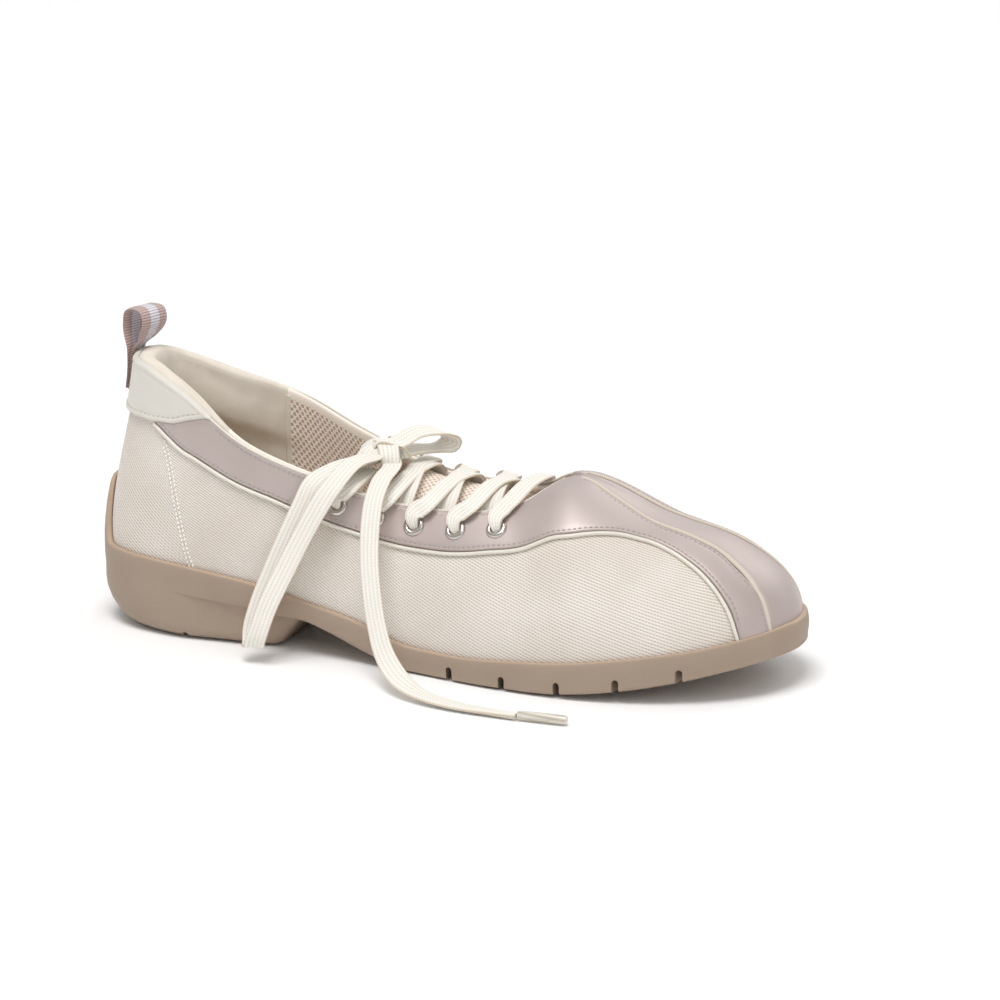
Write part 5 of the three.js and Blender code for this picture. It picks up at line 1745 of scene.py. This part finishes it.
class SNEAKER_OT_cords(bpy.types.Operator):
    """Make the piping, the toe braids and the cord along the collar and throat"""

    bl_idname = "sneaker.cords"
    bl_label = "Piping"

    def execute(self, context):
        sizes = context.scene.sneaker_upper
        glazed = material("glazed", glazed_piping)
        braid = material("braid", seam_braid)
        wide = sizes.piping / MM
        for side, word in ((LATERAL, "lateral"), (MEDIAL, "medial")):
            turns = stations(PIPING_START, PIPING_END, 0.8)
            path, out = line_path(PIPING_LINE, turns, side, 0.1, 0.7)
            piping = tube("piping_cord_" + word, path, out, wide, 1.5)
            finish_piece(piping, glazed, "piping", "piping_" + word)
            turns = stations(SEAM_START - 0.8, SEAM_END, 0.7)
            path, out = line_path(TOE_SEAM, turns, side, 0.0, 0.8)
            cord = tube("toe_braid_" + word, path, out, sizes.braid / MM, 1.3)
            finish_piece(cord, braid, "seam_cord", "toe_seam_" + word)
            turns = stations(TAB_TURN - 1, VAMP_TURN - 3.5, 0.9)
            path, out = rim_path(turns, np.full(len(turns), float(side)), 0.992, 0.85, 0.15)
            finish_piece(tube("throat_cord_" + word, path, out, 0.8, 0.8, 8), glazed, "piping")
        return {"FINISHED"}


class SNEAKER_OT_tongue(bpy.types.Operator):
    """Make the tongue and the insole"""

    bl_idname = "sneaker.tongue"
    bl_label = "Tongue and insole"

    def execute(self, context):
        net = material("tongue_net", net_lining, "tongue_net", 0)
        finish_piece(tongue("net_tongue"), net, "net", "tongue")
        foam = finish_piece(insole("footbed"), material("footbed", footbed_cloth), "insole", "insole")
        return {"FINISHED"}


class SNEAKER_OT_sole(bpy.types.Operator):
    """Make the rubber sole with its slots"""

    bl_idname = "sneaker.sole"
    bl_label = "Sole"

    def execute(self, context):
        finish_piece(sole("cup_sole"), material("rubber", gum_rubber), "sole", "sole")
        return {"FINISHED"}


class SNEAKER_OT_eyelets(bpy.types.Operator):
    """Make the eyelets"""

    bl_idname = "sneaker.eyelets"
    bl_label = "Eyelets"

    def execute(self, context):
        plate = material("nickel", nickel)
        for side, word in ((LATERAL, "lateral"), (MEDIAL, "medial")):
            for i in range(EYELET_COUNT):
                name = f"{word}_{i + 1}"
                finish_piece(eyelet("ring_" + name, i, side), plate, "eyelet", "eyelet_" + name)
        return {"FINISHED"}


class SNEAKER_OT_lace(bpy.types.Operator):
    """Lace the shoe and tie the bow"""

    bl_idname = "sneaker.lace"
    bl_label = "Lace"

    def execute(self, context):
        cotton = material("cotton", cotton_lace)
        for i in range(1, EYELET_COUNT - 1):
            far = eyelet_turn(i + 1) - 2.5
            for side, word in ((LATERAL, "lateral"), (MEDIAL, "medial")):
                strip, _, _ = lace_strip(f"strand_{word}_{i}", crossing_rows(i, side, far))
                finish_piece(strip, cotton, "lace", f"lace_cross_{i}")
        last = EYELET_COUNT - 1
        strip, _, _ = lace_strip("front_bar", bar_rows(last))
        finish_piece(strip, cotton, "lace", "lace_bar")
        ends = {LATERAL: (98.9, -8.1, 59.4, 75, 1, 1), MEDIAL: (100, 3, 60.7, 105, 1, 1)}
        for side, word in ((LATERAL, "lateral"), (MEDIAL, "medial")):
            strip, _, _ = lace_strip("lead_" + word, from_eyelet(0, side) + [ends[side]])
            finish_piece(strip, cotton, "lace", "lace_lead_" + word)
        self.bow(cotton)
        return {"FINISHED"}

    def bow(self, cotton):
        wraps = self.knot(cotton)
        for name, route, node in (
            ("bow_lateral", BOW_LATERAL, "bow_loop_lateral"),
            ("bow_medial", BOW_MEDIAL, "bow_loop_medial"),
        ):
            strip, path, length = lace_strip(name, route, 0.7)
            finish_piece(strip, cotton, "lace", node)
        tip_line = np.linspace(TIP_LATERAL[0], TIP_LATERAL[1], 12)
        radius = np.full(12, 2 * TIP_RADIUS)
        radius[[0, -1]] = 2 * TIP_RADIUS - 0.3
        tip = tube("film_tip", tip_line, np.tile([0.0, 0.0, 1.0], (12, 1)), radius, radius, 16, 0.1)
        finish_piece(tip, material("film", clear_film), "lace_tip", "lace_tip")
        rolled = [row + (1.0, 1.0) for row in END_LATERAL[:-3]]
        rolled += [row + share for row, share in zip(END_LATERAL[-3:], END_ROLL)]
        strip, path, length = lace_strip("loose_end", rolled)
        finish_piece(strip, cotton, "lace", "lace_end_lateral")

    def knot(self, cotton):
        """Wraps of the lace over each other where it is tied."""
        x, y, z = KNOT
        wraps = (
            ((x - 5.5, y + 5.2, z - 2.6, 120), (x - 2.5, y + 3.4, z + 2.6, 110),
             (x + 1.4, y - 1, z + 3.9, 90),
             (x + 4.2, y - 5.2, z + 0.8, 40), (x + 4.6, y - 5.6, z - 2.8, 0)),
            ((x + 5.6, y + 5.0, z - 2.4, 130), (x + 3.2, y + 3.4, z + 1.6, 115),
             (x - 0.6, y - 0.4, z + 2.9, 90),
             (x - 4.0, y - 4.4, z + 0.6, 50), (x - 5.4, y - 5.8, z - 2.6, 10)),
            ((x - 4.6, y - 0.4, z - 3.4, 0), (x - 5.2, y - 1, z + 0.6, 45), (x - 1.2, y - 0.2, z + 4.4, 90),
             (x + 3.6, y + 1.2, z + 3.2, 100), (x + 5.4, y + 1.6, z - 1.8, 170)),
        )
        pieces = [lace_strip(f"knot_wrap_{i}", route, 0.8)[0] for i, route in enumerate(wraps)]
        return [finish_piece(piece, cotton, "lace", "lace_knot") for piece in pieces]


# Degrees that the pull loop is twisted from the way across the heel.
LOOP_TWIST = 20.0


class SNEAKER_OT_ribbon(bpy.types.Operator):
    """Make the ribbon loop behind the heel"""

    bl_idname = "sneaker.ribbon"
    bl_label = "Pull loop"

    def execute(self, context):
        inner = 2.36
        outer = inner + 1.5
        heel = [on_surface(0, LATERAL, share) for share in (0.8, 0.9, 1.0)]
        top = heel[2][0]
        crest = top[2] + 15
        points = [p + n * (inner + extra) for (p, n, _), extra in zip(heel, (-0.4, -0.2, 0))]
        points += [
            np.array([top[0] + 1.2, 0, top[2] + 4]), np.array([top[0] + 4.6, 0, crest - 5]),
            np.array([top[0] + 3.4, 0, crest - 1.2]), np.array([top[0], 0, crest - 0.6]),
            np.array([top[0] - 3.6, 0, crest - 1.8]), np.array([top[0] - 4.6, 0, crest - 6]),
        ]
        points += [p + n * (outer + extra) for (p, n, _), extra in zip(heel[::-1], (0.2, -0.6, -1.0))]
        path, length = catmull(np.array(points), 90)
        turned = math.radians(LOOP_TWIST) * smooth((path[:, 2] - top[2]) / 8)
        reach = path[:, 0] - top[0]
        path = np.stack([top[0] + reach * np.cos(turned), -reach * np.sin(turned), path[:, 2]], 1)
        broad = np.stack([np.sin(turned), np.cos(turned), 0 * turned], 1)
        tangent = unit(np.gradient(path, axis=0))
        out = unit(np.cross(tangent, broad))
        wide = np.linspace(-0.5, 0.5, 9)
        edge = 0.5 * np.sqrt(np.clip(1 - (np.abs(wide) / 0.5) ** 8, 0, 1))
        under_side = [(w, -h) for w, h in zip(wide[-2:0:-1], edge[-2:0:-1])]
        section = [(w, h) for w, h in zip(wide, edge)] + under_side
        section = np.array(section)
        rings = path[:, None] + out[:, None] * (section[None, :, 1:2] * 0.95)
        rings = rings + broad[:, None] * section[None, :, 0:1] * 12
        middles = [rings[k : k + 1 or None][:1].mean(1, keepdims=True) for k in (0, -1)]
        ends = [np.repeat(middle, rings.shape[1], 1) for middle in middles]
        rings = np.concatenate([ends[0], rings, ends[1]])
        run = np.concatenate([[0], np.linspace(0, length, len(path)), [length]])
        count = rings.shape[1]
        faces = []
        for i in range(len(rings) - 1):
            for j in range(count):
                k = (j + 1) % count
                faces.append((i * count + j, i * count + k, (i + 1) * count + k, (i + 1) * count + j))
        uv = np.stack(np.broadcast_arrays(run[:, None] * MM, (section[:, 0] + 0.5)[None]), -1)
        loop = make_mesh("ribbon_loop", to_row(rings.reshape(-1, 3)), faces, uv.reshape(-1, 2), 1e-6)
        finish_piece(loop, material("ribbon", ribbed_ribbon), "ribbon", "pull_loop")
        return {"FINISHED"}


class SNEAKER_OT_stitches(bpy.types.Operator):
    """Sew the panels with rows of stitches"""

    bl_idname = "sneaker.stitches"
    bl_label = "Stitches"

    def execute(self, context):
        pitch = context.scene.sneaker_upper.pitch / MM
        pale = material("pale_thread", polyester_thread, "pale_thread", "#f3efe8")
        grey = material("grey_thread", polyester_thread, "grey_thread", "#b4aea2")
        mauve = material("mauve_thread", polyester_thread, "mauve_thread", "#948580")
        satin_lines = []
        tab_lines = []
        heel_lines = []
        for side in (LATERAL, MEDIAL):
            turns = stations(PIPING_START + 2, PIPING_END - 1, 0.8)
            satin_lines.append(line_path(PIPING_LINE, turns, side, 2.35, 1.12)[0])
            turns = stations(TAB_TURN + 2, 113, 0.8)
            sides = np.full(len(turns), float(side))
            top = np.full(len(turns), 0.992) - 1.5 / np.linalg.norm(
                rib_direction(turns, sides, np.full(len(turns), 0.97)), axis=-1
            )
            points = surface(turns, sides, top)
            satin_lines.append(points + normal(turns, sides, top) * 1.12)
            turns = stations(SEAM_START + 3, SEAM_END - 1, 0.8)
            satin_lines.append(line_path(TOE_SEAM, turns, side, -2.3, 1.12)[0])
            turns = stations(0.5, TAB_TURN - 3, 0.8)
            tab_lines.append(line_path(TAB_EDGE, turns, side, 2.1, 1.46)[0])
            turns = stations(HEEL_SEAM[0][0], HEEL_SEAM[-1][0] - 0.4, 0.15)
            for shift in (-0.7, 0.7):
                heel_lines.append(line_path(HEEL_SEAM, turns, side, shift, 0.22)[0])
        sewn = stitched("satin_stitches", satin_lines, mauve, pitch, 1.25, 0.6)
        finish_piece(sewn, mauve, "satin")
        sewn = stitched("tab_stitches", tab_lines, grey, 2.0, 1.2, 0.5)
        finish_piece(sewn, grey, "tab")
        sewn = stitched("heel_seam_stitches", heel_lines, pale, 1.5, 1.35, 0.7)
        finish_piece(sewn, pale, "mesh")
        return {"FINISHED"}


class SNEAKER_OT_studio(bpy.types.Operator):
    """Set up the camera, the floor and the light"""

    bl_idname = "sneaker.studio"
    bl_label = "Studio"

    def execute(self, context):
        settings = context.scene.sneaker_studio
        self.camera(context, settings)
        bpy.ops.mesh.primitive_plane_add(size=8, location=(0, 0, -0.0004))
        floor = context.active_object
        floor.name = "floor"
        finish, tree, shader = new_material("pale_board", Roughness=0.85)
        shader.inputs["Base Color"].default_value = (*settings.floor, 1.0)
        shader.inputs["Specular IOR Level"].default_value = 0.2
        floor.data.materials.append(finish)
        world = bpy.data.worlds.new("studio")
        world.use_nodes = True
        back = world.node_tree.nodes["Background"]
        back.inputs["Color"].default_value = (1.0, 1.0, 1.0, 1.0)
        back.inputs["Strength"].default_value = 0.52
        context.scene.world = world
        for name, place, size, power, colour in (
            ("key", (0.0, -1.05, 3.4), 1.8, 80.0, (1.0, 0.996, 0.99)),
            ("fill", (3.0, -2.4, 2.6), 2.5, 17.0, (0.98, 0.99, 1.0)),
            ("back", (0.8, 3.0, 2.3), 2.0, 24.0, (1.0, 1.0, 1.0)),
        ):
            data = bpy.data.lights.new(name, "AREA")
            data.size = size
            data.energy = power
            data.color = colour
            lamp = bpy.data.objects.new(name, data)
            lamp.location = place
            aim = Vector((0.07, 0, 0.03)) - Vector(place)
            lamp.rotation_euler = aim.to_track_quat("-Z", "Y").to_euler()
            context.collection.objects.link(lamp)
        context.scene.view_settings.view_transform = "Standard"
        return {"FINISHED"}

    def camera(self, context, settings):
        a, e = settings.azimuth, settings.elevation
        target = Vector(((125.0 - HEEL_REST_X) * MM, 0.0, 0.035))
        toward = Vector((math.sin(a) * math.cos(e), -math.cos(a) * math.cos(e), math.sin(e)))
        data = bpy.data.cameras.new("camera")
        data.sensor_width = 36.0
        data.lens = 214.6
        data.shift_x = 0.049
        data.shift_y = 0.0415
        data.clip_end = 50.0
        camera = bpy.data.objects.new("camera", data)
        camera.location = target + toward * 2.0
        camera.rotation_euler = (-toward).to_track_quat("-Z", "Y").to_euler()
        context.collection.objects.link(camera)
        context.scene.camera = camera


class SNEAKER_PT_panel(bpy.types.Panel):
    """Lists the steps that make the sneaker"""

    bl_label = "Sneaker"
    bl_idname = "SNEAKER_PT_panel"
    bl_space_type = "VIEW_3D"
    bl_region_type = "UI"
    bl_category = "Sneaker"

    def draw(self, context):
        upper = context.scene.sneaker_upper
        studio = context.scene.sneaker_studio
        groups = ((upper, ("piping", "braid", "pitch")), (studio, ("floor", "azimuth", "elevation")))
        for group, names in groups:
            for name in names:
                self.layout.prop(group, name)
        for step in STEPS:
            self.layout.operator(step.bl_idname)


STEPS = (
    SNEAKER_OT_studio,
    SNEAKER_OT_lace,
    SNEAKER_OT_upper,
    SNEAKER_OT_panels,
    SNEAKER_OT_cords,
    SNEAKER_OT_tongue,
    SNEAKER_OT_sole,
    SNEAKER_OT_eyelets,
    SNEAKER_OT_ribbon,
    SNEAKER_OT_stitches,
)
CLASSES = (UpperSettings, StudioSettings, *STEPS, SNEAKER_PT_panel)


def register():
    for made in CLASSES:
        bpy.utils.register_class(made)
    bpy.types.Scene.sneaker_upper = bpy.props.PointerProperty(type=UpperSettings)
    bpy.types.Scene.sneaker_studio = bpy.props.PointerProperty(type=StudioSettings)


def unregister():
    del bpy.types.Scene.sneaker_upper
    del bpy.types.Scene.sneaker_studio
    for made in reversed(CLASSES):
        bpy.utils.unregister_class(made)


def main():
    register()
    for step in STEPS:
        group, name = step.bl_idname.split(".")
        getattr(getattr(bpy.ops, group), name)()


if __name__ == "__main__":
    main()
